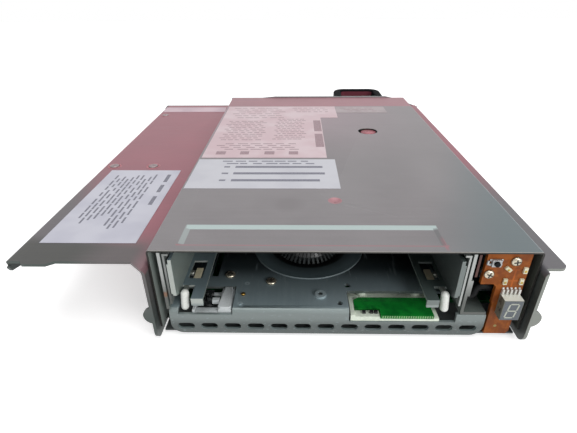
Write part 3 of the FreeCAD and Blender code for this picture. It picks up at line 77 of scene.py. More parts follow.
MM = 0.001

# ---------------------------------------------------------------- studio
# A plain pale floor, one large soft lamp over the drive and a smaller one ahead on its right.
# The camera looks down on the cartridge end from a little left of the middle.
scene = bpy.context.scene
scene.view_settings.view_transform = "Standard"


def placed(name, data):
    """A new object at the origin, linked to the scene."""
    item = bpy.data.objects.new(name, data)
    scene.collection.objects.link(item)
    return item


camera = placed("camera", bpy.data.cameras.new("camera"))
camera.location = (-16.8 * MM, -228.7 * MM, 128.3 * MM)
camera.rotation_euler = [math.radians(angle) for angle in (60.66, 0.45, 1.18)]
camera.data.lens = 26.01
camera.data.sensor_width = 36.0
camera.data.clip_start = 0.005
scene.camera = camera


class Term:
    """A socket of a material's node tree that takes part in arithmetic, each step adding a node."""

    def __init__(self, tree, socket):
        self.tree = tree
        self.socket = socket

    def node(self, kind, settings=None, inputs=None, output=0):
        """Adds a node: its settings first, then the values or links of its sockets."""
        made = self.tree.nodes.new(kind)
        for key, value in (settings or {}).items():
            setattr(made, key, value)
        for key, value in (inputs or {}).items():
            self.feed(made.inputs[key], value)
        return Term(self.tree, made.outputs[output])

    def feed(self, socket, value):
        if isinstance(value, Term):
            self.tree.links.new(value.socket, socket)
        else:
            socket.default_value = value

    def math(self, operation, *values):
        return self.node("ShaderNodeMath", {"operation": operation}, dict(enumerate(values)))

    def __add__(self, other):
        return self.math("ADD", self, other)

    def __sub__(self, other):
        return self.math("SUBTRACT", self, other)

    def __mul__(self, other):
        return self.math("MULTIPLY", self, other)

    def __truediv__(self, other):
        return self.math("DIVIDE", self, other)

    def __rsub__(self, other):
        return self.math("SUBTRACT", other, self)

    __radd__ = __add__
    __rmul__ = __mul__

    def __or__(self, other):
        """The larger of two masks."""
        return self.math("MAXIMUM", self, other)

    def __abs__(self):
        return self.math("ABSOLUTE", self)

    def fraction(self):
        """What is left over the whole number, so that a pattern repeats every 1."""
        return self.math("FRACT", self)

    def step(self, low, high):
        """0 below low, 1 above high and smooth between them; high may be the lower one."""
        return self.node("ShaderNodeMapRange", {"interpolation_type": "SMOOTHSTEP"},
                         {0: self, 1: low, 2: high})

    def within(self, low, high, soft):
        """1 between low and high, with soft edges."""
        return self.step(low - soft, low) * self.step(high + soft, high)

    def stretched(self, x, y, z):
        return self.node("ShaderNodeVectorMath", {"operation": "MULTIPLY"}, {0: self, 1: (x, y, z)})

    def far_from(self, x, y, z):
        """Distance of this place from a point."""
        return self.node("ShaderNodeVectorMath", {"operation": "DISTANCE"}, {0: self, 1: (x, y, z)}, 1)

    def noise(self, scale, detail=2.0):
        return self.node("ShaderNodeTexNoise", {}, {"Vector": self, "Scale": scale, "Detail": detail})

    def cells(self, scale):
        """Distance to the nearest of randomly scattered points."""
        return self.node("ShaderNodeTexVoronoi", {}, {"Vector": self, "Scale": scale})

    def axis(self, letter):
        return self.node("ShaderNodeSeparateXYZ", {}, {0: self}, "XYZ".index(letter))

    def mix(self, first, second):
        """Colour between first and second by this factor."""
        return self.node("ShaderNodeMix", {"data_type": "RGBA"}, {0: self, 6: first, 7: second}, 2)


def shade(hexadecimal):
    """Linear colour of an sRGB hex string."""
    parts = [int(hexadecimal[k:k + 2], 16) / 255 for k in (0, 2, 4)]
    return tuple(((c + 0.055) / 1.055) ** 2.4 if c > 0.04045 else c / 12.92 for c in parts) + (1.0,)


def material(name, **values):
    """A new material with its shader's plain values, whose patterns read places in millimetres."""
    made = bpy.data.materials.new(name)
    made.use_nodes = True
    tree = made.node_tree
    coordinate = Term(tree, tree.nodes.new("ShaderNodeTexCoord").outputs["Object"])
    coordinate.stretched(1 / MM, 1 / MM, 1 / MM).socket.node.name = "place"
    for key, value in values.items():
        tree.nodes["Principled BSDF"].inputs[key.replace("_", " ")].default_value = value
    return made


def place_in(made):
    """The place on the object, in millimetres, that this material's patterns read."""
    return Term(made.node_tree, made.node_tree.nodes["place"].outputs[0])


def feed(made, socket, term):
    term.feed(made.node_tree.nodes["Principled BSDF"].inputs[socket], term)


def bump(made, height, depth):
    """Relief of this depth in metres from a height term."""
    feed(made, "Normal", height.node("ShaderNodeBump", {}, {"Height": height, "Distance": depth}))


def seen_plainly(tree):
    """1 for rays from the camera, and for those mirrored by metal or passed on by glass."""
    path = [Term(tree, socket) for socket in tree.nodes.new("ShaderNodeLightPath").outputs
            if socket.name in ("Is Camera Ray", "Is Glossy Ray", "Is Transmission Ray")]
    return path[0] | (path[1] | path[2])


floor_reach = 1.5
floor_gap = 0.0002
floor_glow = 0.56
room_light = 0.38
floor_mesh = bpy.data.meshes.new("floor")
floor_mesh.from_pydata([(-floor_reach, -floor_reach, 0), (floor_reach, -floor_reach, 0),
                        (floor_reach, floor_reach, 0), (-floor_reach, floor_reach, 0)],
                       [], [(0, 1, 2, 3)])
floor_mesh.transform(Matrix.Translation((0, 0, cad_box[0][2] - floor_gap)))
floor = placed("floor", floor_mesh)
paper = material("paper", Base_Color=(0.86, 0.86, 0.86, 1), Roughness=0.9)
paper_place = place_in(paper)
feed(paper, "Emission Strength", seen_plainly(paper.node_tree) * floor_glow)
distance = paper_place.far_from(0, 0, 0)
feed(paper, "Emission Color", distance.step(350, 1100).mix((1, 1, 1, 1), (1.7, 1.7, 1.7, 1)))
floor_mesh.materials.append(paper)

world = bpy.data.worlds.new("room")
scene.world = world
world.use_nodes = True
room = world.node_tree.nodes["Background"]
room_seen = seen_plainly(world.node_tree)
room_seen.feed(room.inputs["Strength"], room_seen * (1 - room_light) + room_light)
room.inputs["Color"].default_value = (1.0, 1.0, 1.0, 1)


def lamp(name, size, power, place, target):
    light = bpy.data.lights.new(name, "AREA")
    light.shape = "RECTANGLE"
    light.size, light.size_y = size
    light.energy = power
    item = placed(name, light)
    item.location = place
    item.rotation_euler = (Vector(target) - Vector(place)).to_track_quat("-Z", "Y").to_euler()


lamp("lamp_over", (0.9, 0.9), 5.2, (0.05, -0.10, 0.95), (0, 0.02, 0))
lamp("lamp_front_right", (0.5, 0.4), 4.6, (0.55, -0.80, 0.42), (0, -0.1, 0.02))


# ---------------------------------------------------------------- sled tray
# The carrier that slides into the library: one plated steel sheet folded into a floor, two
# walls and two wings. The wall ends run forward as legs, each with a small round ear.
def sheet_metal(name, light, dark, metallic=0.25, roughness=0.42, grain=(0.02, 0.4, 0.4)):
    """Plated sheet: a clouded colour, rolling grain along one axis and slightly uneven gloss."""
    made = material(name, Metallic=metallic)
    place = place_in(made)
    cloud = place.noise(0.035, 3.0)
    streak = place.stretched(*grain).noise(1.6, 4.0)
    speck = place.noise(2.4, 1.0)
    tone = (cloud * 0.5 + streak * 0.3 + speck * 0.2).step(0.32, 0.68)
    feed(made, "Base Color", tone.mix(shade(dark), shade(light)))
    feed(made, "Roughness", streak * 0.16 + cloud * 0.06 + (roughness - 0.11))
    bump(made, streak * 0.6 + speck * 0.4, 0.00002)
    return made


def tinted(made, mask, colour):
    """Lays another colour over a material's own where the mask is 1."""
    socket = made.node_tree.nodes["Principled BSDF"].inputs["Base Color"]
    below = Term(made.node_tree, socket.links[0].from_socket)
    feed(made, "Base Color", mask.mix(below, shade(colour)))


def facing(made, letter):
    """How far the surface faces along an axis of the object, from -1 to 1."""
    coordinate = made.node_tree.nodes.new("ShaderNodeTexCoord")
    return Term(made.node_tree, coordinate.outputs["Normal"]).axis(letter)


def merged(node):
    """A copy of a CAD node's mesh with its triangles joined and its flat faces made whole."""
    data = nodes[node].data.copy()
    shape = bmesh.new()
    shape.from_mesh(data)
    bmesh.ops.remove_doubles(shape, verts=shape.verts, dist=1e-6)
    bmesh.ops.dissolve_limit(shape, angle_limit=math.radians(1), verts=shape.verts, edges=shape.edges)
    shape.to_mesh(data)
    shape.free()
    data.materials.clear()
    return data


def shown(piece, node, replaced=True):
    """Rides a piece on a CAD node's body, in the node's place, and hides the node when the piece replaces
    it.
    """
    if replaced:
        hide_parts(node)
    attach(piece, nodes[node]["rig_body"])
    return piece


def dressed(node, made, soft=32, rounding=0.0):
    """A smooth-shaded copy that stands for a CAD node, in this material, its edges broken."""
    piece = placed(node + "_dressed", merged(node))
    piece.data.materials.append(made)
    for face in piece.data.polygons:
        face.use_smooth = True
    piece.data.set_sharp_from_angle(angle=math.radians(soft))
    if rounding:
        bevel = piece.modifiers.new("edges", "BEVEL")
        bevel.width = rounding * MM
        bevel.segments = 2
        bevel.limit_method = "ANGLE"
        bevel.angle_limit = math.radians(40)
        bevel.harden_normals = True
    return shown(piece, node)


front = -102.0
wing_top = 36.0

# Painted reflection: the pink of this plating stands for pink surroundings mirrored in the sheet. The tints
# below fade it to grey at the left wing's end, along its front rim and on the right wing.
sled_plate = sheet_metal("sled_plate", "99616b", "8e5963")
place = place_in(sled_plate)
across, depth = place.axis("X"), place.axis("Y")
grey_wing_end = (across * 1.9 + depth + 262).step(26, -34)
tinted(sled_plate, grey_wing_end, "646063")
dark_wing_rim = across.within(-140, -82, 8) * (depth + across * 0.1).step(-92, -101)
tinted(sled_plate, dark_wing_rim, "464644")
grey_right_wing = across.step(60, 70) * depth.step(10, -60)
tinted(sled_plate, grey_right_wing, "646265")
# Painted shade: the walls and legs below the wings are darker.
below_wings = place.axis("Z").step(34.2, 33.2)
tinted(sled_plate, below_wings, "4b514f")
# Painted light by facing: the front ends are painted dark as shade, and lighter on the right where the lamp
# falls.
ends = facing(sled_plate, "Y").step(-0.6, -0.9)
tinted(sled_plate, ends, "444c49")
tinted(sled_plate, ends * across.step(0, 20), "7c807a")
# Painted reflection: darker grey where the pink fades near the left wing's front inner corner.
front_corner_fade = place.far_from(-82, front + 2, wing_top).step(26, 8) * 0.6
tinted(sled_plate, front_corner_fade, "6b6264")
dressed("sled_tray", sled_plate, 32, 0.12)


# ---------------------------------------------------------------- wing labels
# Two paper stickers on the left wing: a large one near the front and a narrow one along the
# rear edge. The places for words carry plain grey rules only.
def copies_tree():
    """Geometry Nodes: one copy of a unit shape on each point of a mesh, turned by the point's own
    angle, then turned and sized at random between the limits, realized and given its finish."""
    tree = bpy.data.node_groups.new("copies", "GeometryNodeTree")
    tree.interface.new_socket("Points", in_out="INPUT", socket_type="NodeSocketGeometry")
    for name, kind in (("Unit", "Object"), ("Turn Axis", "Vector"), ("Most Turn", "Float"),
                       ("Least Size", "Vector"), ("Most Size", "Vector"), ("Seed", "Int"),
                       ("Finish", "Material")):
        tree.interface.new_socket(name, in_out="INPUT", socket_type="NodeSocket" + kind)
    tree.interface.new_socket("Copies", in_out="OUTPUT", socket_type="NodeSocketGeometry")
    given = tree.nodes.new("NodeGroupInput").outputs
    unit = tree.nodes.new("GeometryNodeObjectInfo")
    unit.inputs["As Instance"].default_value = True
    angle = tree.nodes.new("FunctionNodeRandomValue")
    angle.data_type = "FLOAT"
    size = tree.nodes.new("FunctionNodeRandomValue")
    size.data_type = "FLOAT_VECTOR"
    own = tree.nodes.new("GeometryNodeInputNamedAttribute")
    own.data_type = "FLOAT"
    own.inputs["Name"].default_value = "turn"
    whole = tree.nodes.new("ShaderNodeMath")
    turn = tree.nodes.new("FunctionNodeAxisAngleToRotation")
    spread = tree.nodes.new("GeometryNodeInstanceOnPoints")
    real = tree.nodes.new("GeometryNodeRealizeInstances")
    finish = tree.nodes.new("GeometryNodeSetMaterial")
    result = tree.nodes.new("NodeGroupOutput")
    angle_out = next(socket for socket in angle.outputs if socket.type == "VALUE" and socket.enabled)
    for start, end in ((given["Unit"], unit.inputs["Object"]), (given["Most Turn"], angle.inputs[3]),
                       (given["Seed"], angle.inputs["Seed"]), (given["Seed"], size.inputs["Seed"]),
                       (given["Least Size"], size.inputs[0]), (given["Most Size"], size.inputs[1]),
                       (given["Turn Axis"], turn.inputs["Axis"]), (angle_out, whole.inputs[0]),
                       (own.outputs[0], whole.inputs[1]), (whole.outputs[0], turn.inputs["Angle"]),
                       (given["Points"], spread.inputs["Points"]),
                       (unit.outputs["Geometry"], spread.inputs["Instance"]),
                       (turn.outputs["Rotation"], spread.inputs["Rotation"]),
                       (size.outputs[0], spread.inputs["Scale"]),
                       (spread.outputs["Instances"], real.inputs["Geometry"]),
                       (real.outputs["Geometry"], finish.inputs["Geometry"]),
                       (given["Finish"], finish.inputs["Material"]),
                       (finish.outputs["Geometry"], result.inputs["Copies"])):
        tree.links.new(start, end)
    return tree


copies = copies_tree()


def spread_copies(name, unit, places, made, axis=(0, 0, 1), turn=0.0,
                  sizes=((1, 1, 1), (1, 1, 1)), seed=1, turns=()):
    """Copies of a unit mesh on places given in millimetres, as one plain mesh object."""
    dots = bpy.data.meshes.new(name)
    dots.from_pydata([Vector(place) * MM for place in places], [], [])
    if turns:
        dots.attributes.new("turn", "FLOAT", "POINT").data.foreach_set("value", turns)
    carrier = placed(name + "_points", dots)
    pattern = placed(name + "_unit", unit)
    modifier = carrier.modifiers.new("copies", "NODES")
    modifier.node_group = copies
    values = {"Unit": pattern, "Turn Axis": axis, "Most Turn": math.radians(turn),
              "Least Size": sizes[0], "Most Size": sizes[1], "Seed": seed, "Finish": made}
    for socket in copies.interface.items_tree:
        if socket.name in values:
            modifier[socket.identifier] = values[socket.name]
    bpy.context.view_layer.update()
    evaluated = carrier.evaluated_get(bpy.context.evaluated_depsgraph_get())
    data = bpy.data.meshes.new_from_object(evaluated)
    carrier.modifiers.remove(modifier)
    bpy.data.objects.remove(carrier)
    bpy.data.objects.remove(pattern)
    data.name = name
    return placed(name, data)


def mesh_from(shape, name):
    """The finished bmesh as a new mesh."""
    data = bpy.data.meshes.new(name)
    shape.to_mesh(data)
    shape.free()
    return data


def add_prism(shape, outline, rise):
    """Adds a flat outline, raised by this vector, to a bmesh; both are in millimetres."""
    base = shape.faces.new([shape.verts.new([value * MM for value in corner]) for corner in outline])
    grown = bmesh.ops.extrude_face_region(shape, geom=[base])
    raised = [vertex for vertex in grown["geom"] if isinstance(vertex, bmesh.types.BMVert)]
    bmesh.ops.translate(shape, verts=raised, vec=[value * MM for value in rise])


def box_mesh(name, low, high):
    """A closed box between two corners in millimetres."""
    shape = bmesh.new()
    bmesh.ops.create_cube(shape, size=1.0)
    for vertex in shape.verts:
        vertex.co = [(low[k] if vertex.co[k] < 0 else high[k]) * MM for k in range(3)]
    return mesh_from(shape, name)


def label_paper(name, colour, stain):
    """Satin label stock with a faint uneven tint."""
    made = material(name, Roughness=0.38)
    place = place_in(made)
    feed(made, "Base Color", place.noise(0.06, 2.0).step(0.35, 0.65).mix(shade(colour), shade(stain)))
    bump(made, place.noise(0.5, 2.0), 0.00001)
    return made


paper_gap = 0.02
paper_thickness = 0.1
ink_height = 0.125
ink_thickness = 0.02


def label(name, corners, height, made):
    """A flat sticker: its outline in millimetres, lying on a sheet at this height."""
    shape = bmesh.new()
    add_prism(shape, [(x, y, height + paper_gap) for x, y in corners], (0, 0, paper_thickness))
    bmesh.ops.recalc_face_normals(shape, faces=shape.faces)
    data = mesh_from(shape, name)
    data.materials.append(made)
    piece = placed(name, data)
    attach(piece, "drive_frame")
    return piece


def rules(name, height, rows, thickness, made, along, seed, breaks=1):
    """Printed rules on a label. A row has its start, shortest and longest rule, count and pitch.
    With breaks, a rule is a line of dashes, and each line starts at another point."""
    shortest, longest = 0.62, 0.93
    line_slip, row_slip = 0.37, 0.2
    lift = height + ink_height
    for number, (x, y, least, most, count, pitch) in enumerate(rows):
        stride = most / breaks
        if breaks > 1:
            least, most = least / breaks * shortest, stride * longest
        places = []
        for k in range(count):
            slip = (k * line_slip + number * row_slip) % 1 * stride if breaks > 1 else 0
            for j in range(breaks):
                run = slip + j * stride
                if along == "X":
                    places.append((x + run, y - k * pitch, lift))
                else:
                    places.append((x - k * pitch, y - run, lift))
        if along == "X":
            unit = box_mesh(name, (0, -thickness / 2, 0), (1, thickness / 2, ink_thickness))
            sizes = ((least, 1, 1), (most, 1, 1))
        else:
            unit = box_mesh(name, (-thickness / 2, -1, 0), (thickness / 2, 0, ink_thickness))
            sizes = ((1, least, 1), (1, most, 1))
        piece = spread_copies(name + "_" + str(number), unit, places, made, sizes=sizes,
                              seed=seed + number)
        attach(piece, "drive_frame")


wing_paper = label_paper("wing_label_paper", "c4c4cf", "b9b9c6")
rule_ink = material("rule_ink", Roughness=0.5)
place = place_in(rule_ink)
feed(rule_ink, "Base Color", place.noise(1.5, 2.0).step(0.35, 0.6).mix(shade("83838f"), shade("6c6c78")))
label("wing_label", [(-122.6, front + 14.7), (-82.7, front + 14.7), (-82.7, front + 90.0),
                     (-122.0, front + 90.2)], wing_top, wing_paper)
rules("wing_label_rules", wing_top,
      [(-94.5, front + 84.0, 46, 56, 4, 2.3), (-104.0, front + 84.0, 38, 44, 3, 2.3),
       (-111.0, front + 84.0, 34, 50, 3, 2.3)], 0.95, rule_ink, "Y", 4, 7)
rules("wing_label_heading", wing_top, [(-87.5, front + 84.0, 38, 40, 1, 3.0)], 2.0, rule_ink, "Y", 9, 3)
rear_paper = label_paper("rear_label_paper", "cdb3bc", "bfa5b0")
label("wing_label_rear", [(-127.6, front + 212.0), (-76.4, front + 212.0), (-77.6, front + 226.0),
                          (-128.2, front + 226.0)], wing_top, rear_paper)


# ---------------------------------------------------------------- rivets and side screws
# Zinc rivets clinch the left wing, each over a ring of red marking paint. Cross-recessed pan
# head screws go through the sled's walls into the drive.
def point_along(shape, towards):
    """Turns a shape that stands along Z to stand along this direction."""
    turn = Vector((0, 0, 1)).rotation_difference(Vector(towards)).to_matrix()
    bmesh.ops.transform(shape, matrix=turn, verts=shape.verts)


def lathe(name, profile, towards=(0, 0, 1), segments=24):
    """A closed round shape from (radius, height) points, standing along the given direction."""
    shape = bmesh.new()
    rings = []
    for radius, height in profile:
        if radius == 0:
            rings.append([shape.verts.new((0, 0, height * MM))])
        else:
            rings.append([shape.verts.new((radius * MM * math.cos(2 * math.pi * k / segments),
                                           radius * MM * math.sin(2 * math.pi * k / segments),
                                           height * MM)) for k in range(segments)])
    for lower, upper in zip(rings, rings[1:]):
        for k in range(segments):
            j = (k + 1) % segments
            if len(lower) == 1:
                shape.faces.new((lower[0], upper[j], upper[k]))
            elif len(upper) == 1:
                shape.faces.new((lower[k], lower[j], upper[0]))
            else:
                shape.faces.new((lower[k], lower[j], upper[j], upper[k]))
    bmesh.ops.remove_doubles(shape, verts=shape.verts, dist=1e-7)
    bmesh.ops.recalc_face_normals(shape, faces=shape.faces)
    point_along(shape, towards)
    for face in shape.faces:
        face.smooth = True
    return mesh_from(shape, name)


def cross_mesh(name, arm, slit, low, high, towards=(0, 0, 1)):
    """The cross recess of a screw head, as a plus-shaped prism in painted shade."""
    shape = bmesh.new()
    outline = [(slit, slit), (arm, slit), (arm, -slit), (slit, -slit), (slit, -arm), (-slit, -arm),
               (-slit, -slit), (-arm, -slit), (-arm, slit), (-slit, slit), (-slit, arm), (slit, arm)]
    add_prism(shape, [(x, y, low) for x, y in outline], (0, 0, high - low))
    bmesh.ops.recalc_face_normals(shape, faces=shape.faces)
    point_along(shape, towards)
    return mesh_from(shape, name)


def solids(node):
    """Lowest and highest corner, in millimetres, of each separate solid of a CAD node."""
    shape = bmesh.new()
    shape.from_mesh(merged(node))
    waiting = set(shape.verts)
    found = []
    while waiting:
        group = [waiting.pop()]
        for vertex in group:
            for edge in vertex.link_edges:
                other = edge.other_vert(vertex)
                if other in waiting:
                    waiting.remove(other)
                    group.append(other)
        found.append((Vector([min(v.co[k] for v in group) for k in range(3)]) / MM,
                      Vector([max(v.co[k] for v in group) for k in range(3)]) / MM))
    shape.free()
    return sorted(found, key=lambda pair: tuple(round(value, 3) for value in pair[0]))


def screw_heads(node, places, radius, height, towards, seed, shank=None):
    """Pan heads with cross recesses in place of a CAD node's screws."""
    profile = [(0, 0), (radius, 0), (radius, height * 0.45), (radius * 0.86, height * 0.8),
               (radius * 0.55, height), (0, height)]
    if shank:
        profile = [(0, -shank[1]), (shank[0], -shank[1]), (shank[0], 0)] + profile[1:]
    heads = spread_copies(node + "_heads", lathe("pan_head", profile, towards), places, zinc,
                          axis=towards, turn=90, seed=seed)
    slots = spread_copies(node + "_slots",
                          cross_mesh("cross", radius * 0.62, radius * 0.15, height * 0.5,
                                     height + 0.02, towards),
                          places, recess, axis=towards, turn=90, seed=seed)
    shown(heads, node)
    shown(slots, node, False)


zinc = sheet_metal("bright_zinc", "d6cfbe", "a79f8c", 0.85, 0.26, (0.6, 0.6, 0.6))
# Painted shade: the screws' cross recesses are drawn as dark solids.
recess = material("painted_recess_shade", Roughness=0.7)
place = place_in(recess)
feed(recess, "Base Color", place.noise(2.0).step(0.3, 0.7).mix(shade("14120f"), shade("2a241d")))

rivet_height = 2.4
rivet_crown = 0.6
rivet_places = [((low.x + high.x) / 2, (low.y + high.y) / 2, low.z + rivet_height - rivet_crown)
                for low, high in solids("wing_rivets")]
rivet_profile = [(0, -1.8), (2.7, -1.8), (2.7, -1.2), (1.58, -1.2), (1.58, 0), (2.7, 0), (2.6, 0.3),
                 (1.8, 0.55), (0.9, 0.6), (0.6, 0.35), (0, 0.3)]
rivet_zinc = sheet_metal("rivet_zinc", "a8999a", "85787a", 0.5, 0.4, (0.6, 0.6, 0.6))
rivets = spread_copies("wing_rivet_heads", lathe("rivet", rivet_profile), rivet_places, rivet_zinc)
shown(rivets, "wing_rivets")
paint = material("red_paint", Roughness=0.45)
place = place_in(paint)
feed(paint, "Base Color", place.noise(0.9).step(0.3, 0.7).mix(shade("a05a62"), shade("b87880")))
paint_rings = spread_copies("rivet_paint", lathe("paint_ring", [(2.75, 0.0), (3.9, 0.0), (3.7, 0.05),
                                                                (2.75, 0.05), (2.75, 0.0)]),
                            rivet_places, paint, sizes=((0.9, 0.9, 1), (1.1, 1.1, 1)), seed=3)
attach(paint_rings, "drive_frame")

side_screws = solids("sled_side_screws")
sled_outer = 74.7
profile = [(0, -3.7), (1.5, -3.7), (1.5, 0), (2.8, 0), (2.8, 0.6), (2.3, 1.05), (1.4, 1.2), (0, 1.2)]
for side, name in ((-1, "side_screws_left"), (1, "side_screws_right")):
    towards = (side, 0, 0)
    spots = [(sled_outer * side, (low.y + high.y) / 2, (low.z + high.z) / 2)
             for low, high in side_screws if (low.x + high.x) * side > 0]
    heads = spread_copies(name, lathe("side_screw", profile, towards), spots, zinc)
    slots = spread_copies(name + "_slots", cross_mesh("cross", 1.7, 0.4, 0.6, 1.22, towards),
                          spots, recess, axis=towards, turn=90, seed=5)
    shown(heads, "sled_side_screws")
    shown(slots, "sled_side_screws", False)

# ---------------------------------------------------------------- rear housing and panel
# A folded steel cover over the rear electronics and an upright panel with hexagonal vents,
# both plated like the sled. The panel's cut upper edge is bare and paler.
# Painted reflection: the cover's pink stands for pink surroundings mirrored in it, and its rear-facing
# faces are painted greyer.
rear_plate = sheet_metal("rear_plate", "a2747c", "966a72")
rear_face = facing(rear_plate, "Y").step(0.6, 0.9)
tinted(rear_plate, rear_face, "84797b")
dressed("rear_housing_cover", rear_plate)
panel_plate = sheet_metal("panel_plate", "8d8588", "817a7d", grain=(0.4, 0.4, 0.02))
cut_edge = facing(panel_plate, "Z").step(0.5, 0.8)
tinted(panel_plate, cut_edge, "8fa09c")
dressed("rear_panel", panel_plate, 20)

# ---------------------------------------------------------------- pull handle
# A black moulded stirrup for pulling the drive out, held by two screws from inside the panel.
# Its front carries a painted reflection of the cover's pink.
black_gloss = material("black_gloss", Roughness=0.5, Specular_IOR_Level=0.01)
place = place_in(black_gloss)
# Painted reflection of the pink cover on the handle's lower front.
handle_pink_reflection = place.axis("Z").within(36.5, 42.2, 0.8) * place.axis("X").within(22, 49, 3) \
    * facing(black_gloss, "Y").step(-0.3, -0.8)
feed(black_gloss, "Base Color", place.noise(0.3).step(0.3, 0.7).mix(shade("0c0c0e"), shade("17161a")))
tinted(black_gloss, handle_pink_reflection, "6b3640")
bump(black_gloss, place.noise(0.8), 0.00001)
dressed("pull_handle", black_gloss, 50, 0.7)
dressed("handle_screws", zinc)


# ---------------------------------------------------------------- fan
# A 40 mm fan behind the panel's vents: a black glass-filled frame with three struts, and a
# seven-bladed rotor that turns on its hub.
def moulded(name, light, dark, roughness=0.5, grain=3.0, depth=0.00002, **values):
    """Moulded plastic: two near tones and a fine spark-eroded grain."""
    made = material(name, **values)
    place = place_in(made)
    grit = place.noise(grain, 3.0)
    feed(made, "Base Color", (place.noise(0.12, 2.0) * 0.6 + grit * 0.4).step(0.35, 0.65)
         .mix(shade(dark), shade(light)))
    feed(made, "Roughness", grit * 0.2 + (roughness - 0.1))
    bump(made, grit, depth)
    return made


fan_plastic = moulded("fan_plastic", "242628", "191a1c", 0.55)
dressed("fan_frame", fan_plastic, 32, 0.4)
rotor_plastic = moulded("rotor_plastic", "2d2f31", "202224", 0.4)
dressed("fan_rotor", rotor_plastic)


# ---------------------------------------------------------------- ports and interposer
# Green board across the housing with two tin-plated cages, milky light pipes and the plug
# that joins it to the drive.
def circuit_board(name, mask, trace, pitch=1.9, roughness=0.35):
    """Solder mask over copper: straight traces show as paler raised lines between bare areas."""
    made = material(name, Specular_IOR_Level=0.2)
    place = place_in(made)
    lines = []
    for letter, other in (("X", "Y"), ("Y", "Z")):
        wave = (place.axis(letter) + place.axis(other) * 0.02) / pitch
        line = wave.fraction().within(0.30, 0.42, 0.06)
        lines.append(line * place.noise(0.11, 1.0).step(0.50, 0.54))
    drawn = lines[0] | lines[1] * (1 - lines[0])
    tone = place.noise(0.3, 3.0).step(0.3, 0.7).mix(shade(mask), shade(trace))
    feed(made, "Base Color", (drawn * 0.6).mix(tone, shade(trace)))
    feed(made, "Roughness", drawn * 0.1 + roughness)
    bump(made, drawn, 0.00003)
    return made


green_board = circuit_board("green_board", "17532f", "24703f")
dressed("interposer_board", green_board)
tin_plate = sheet_metal("tin_plate", "c6c5c0", "aaa9a4", 0.8, 0.3, (0.5, 0.05, 0.5))
dressed("data_ports", tin_plate, 32, 0.15)
tongue_plastic = moulded("tongue_plastic", "26272a", "1b1c1e", 0.45)
contact_count = 14
contact_pitch = 0.95
contact_setback = 16.0
tongue_top = 2.32
pads = []
for low, high in solids("data_ports"):
    middle = (low.x + high.x) / 2
    pads += [(middle + (k - (contact_count - 1) / 2) * contact_pitch, high.y - contact_setback,
              low.z + tongue_top) for k in range(contact_count)]
contacts = spread_copies("port_contacts", box_mesh("contact", (-0.25, -2.4, 0), (0.25, 3.9, 0.08)),
                         pads, tin_plate)
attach(contacts, "drive_frame")
pipe_plastic = moulded("pipe_plastic", "e4e9ea", "d3dadb", 0.15, 1.2)
dressed("light_pipes", pipe_plastic)
dressed("drive_connector", tongue_plastic, 32, 0.25)
knob_metal = sheet_metal("knob_metal", "bdbbb6", "9c9a94", 0.85, 0.28, (0.8, 0.1, 0.8))
dressed("thumbscrew_left", knob_metal)
dressed("thumbscrew_right", knob_metal)

# ---------------------------------------------------------------- bottom pan and main board
# A shallow plated pan carries the main board on pillars, and screws clamp it there. The board
# has black packages with rows of tinned legs.
pan_plate = sheet_metal("pan_plate", "565a5a", "4a4e4e", 0.3, 0.5)
dressed("bottom_pan", pan_plate)
dressed("main_board", green_board)
dressed("board_pillars", knob_metal)
package_plastic = moulded("package_plastic", "1d1e20", "131416", 0.45, 4.0)
dressed("board_chips", package_plastic)
leg_pitch = 1.27
leg_reach = 0.5


def leg_row(low, high):
    """Evenly spaced places for the legs along one side of a package."""
    count = int((high - low - 1.5) / leg_pitch)
    return [(low + high) / 2 + (k - (count - 1) / 2) * leg_pitch for k in range(count)]


legs_x, legs_y = [], []
for low, high in solids("board_chips"):
    if high.x - low.x > 5:
        for x in leg_row(low.x, high.x):
            legs_x += [(x, low.y - leg_reach, low.z), (x, high.y + leg_reach, low.z)]
        for y in leg_row(low.y, high.y):
            legs_y += [(low.x - leg_reach, y, low.z), (high.x + leg_reach, y, low.z)]
for name, spots, half_x, half_y in (("legs_across", legs_x, 0.2, 0.6), ("legs_along", legs_y, 0.6, 0.2)):
    leg = box_mesh("leg", (-half_x, -half_y, 0), (half_x, half_y, 0.5))
    legs = spread_copies("package_" + name, leg, spots, tin_plate)
    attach(legs, "drive_frame")

# ---------------------------------------------------------------- chassis deck and lip
# The drive's base: a bright-plated steel deck whose front folds down into a lip with a row of stamped
# slots. Worked edges and the fold carry painted highlights, and the deck and the lip's face carry painted
# shade, darker further under the cover.
deck_top = 14.0
deck_plate = sheet_metal("deck_plate", "94a4a9", "829297", 0.3, 0.36, (0.3, 0.02, 0.3))
place = place_in(deck_plate)
depth = place.axis("Y")
# Painted shade: the deck darkens further in, under the cover.
for start, end, colour in ((9, 20, "7b8a8f"), (16, 30, "2e3639"), (28, 46, "08090a")):
    tinted(deck_plate, depth.step(front + start, front + end), colour)
# Painted highlight along the fold.
fold_highlight = depth.step(-99.6, -100.6)
tinted(deck_plate, fold_highlight, "8b9999")
# Painted shade on the lip's front face, with a painted highlight on its upper part.
lip_face = facing(deck_plate, "Y").step(-0.8, -0.97)
tinted(deck_plate, lip_face, "585f5e")
lip_upper = depth.step(-100, -101) * place.axis("Z").step(5.5, 10.5) * 0.8
tinted(deck_plate, lip_upper, "7d8685")
# Painted highlight on the boss's rim, and painted shade in place of its hole.
boss = place.far_from(-7.1, front + 9.5, deck_top)
tinted(deck_plate, boss.within(1.5, 2.5, 0.3), "a9b8bc")
tinted(deck_plate, boss.step(1.3, 1.0), "0b0c0c")
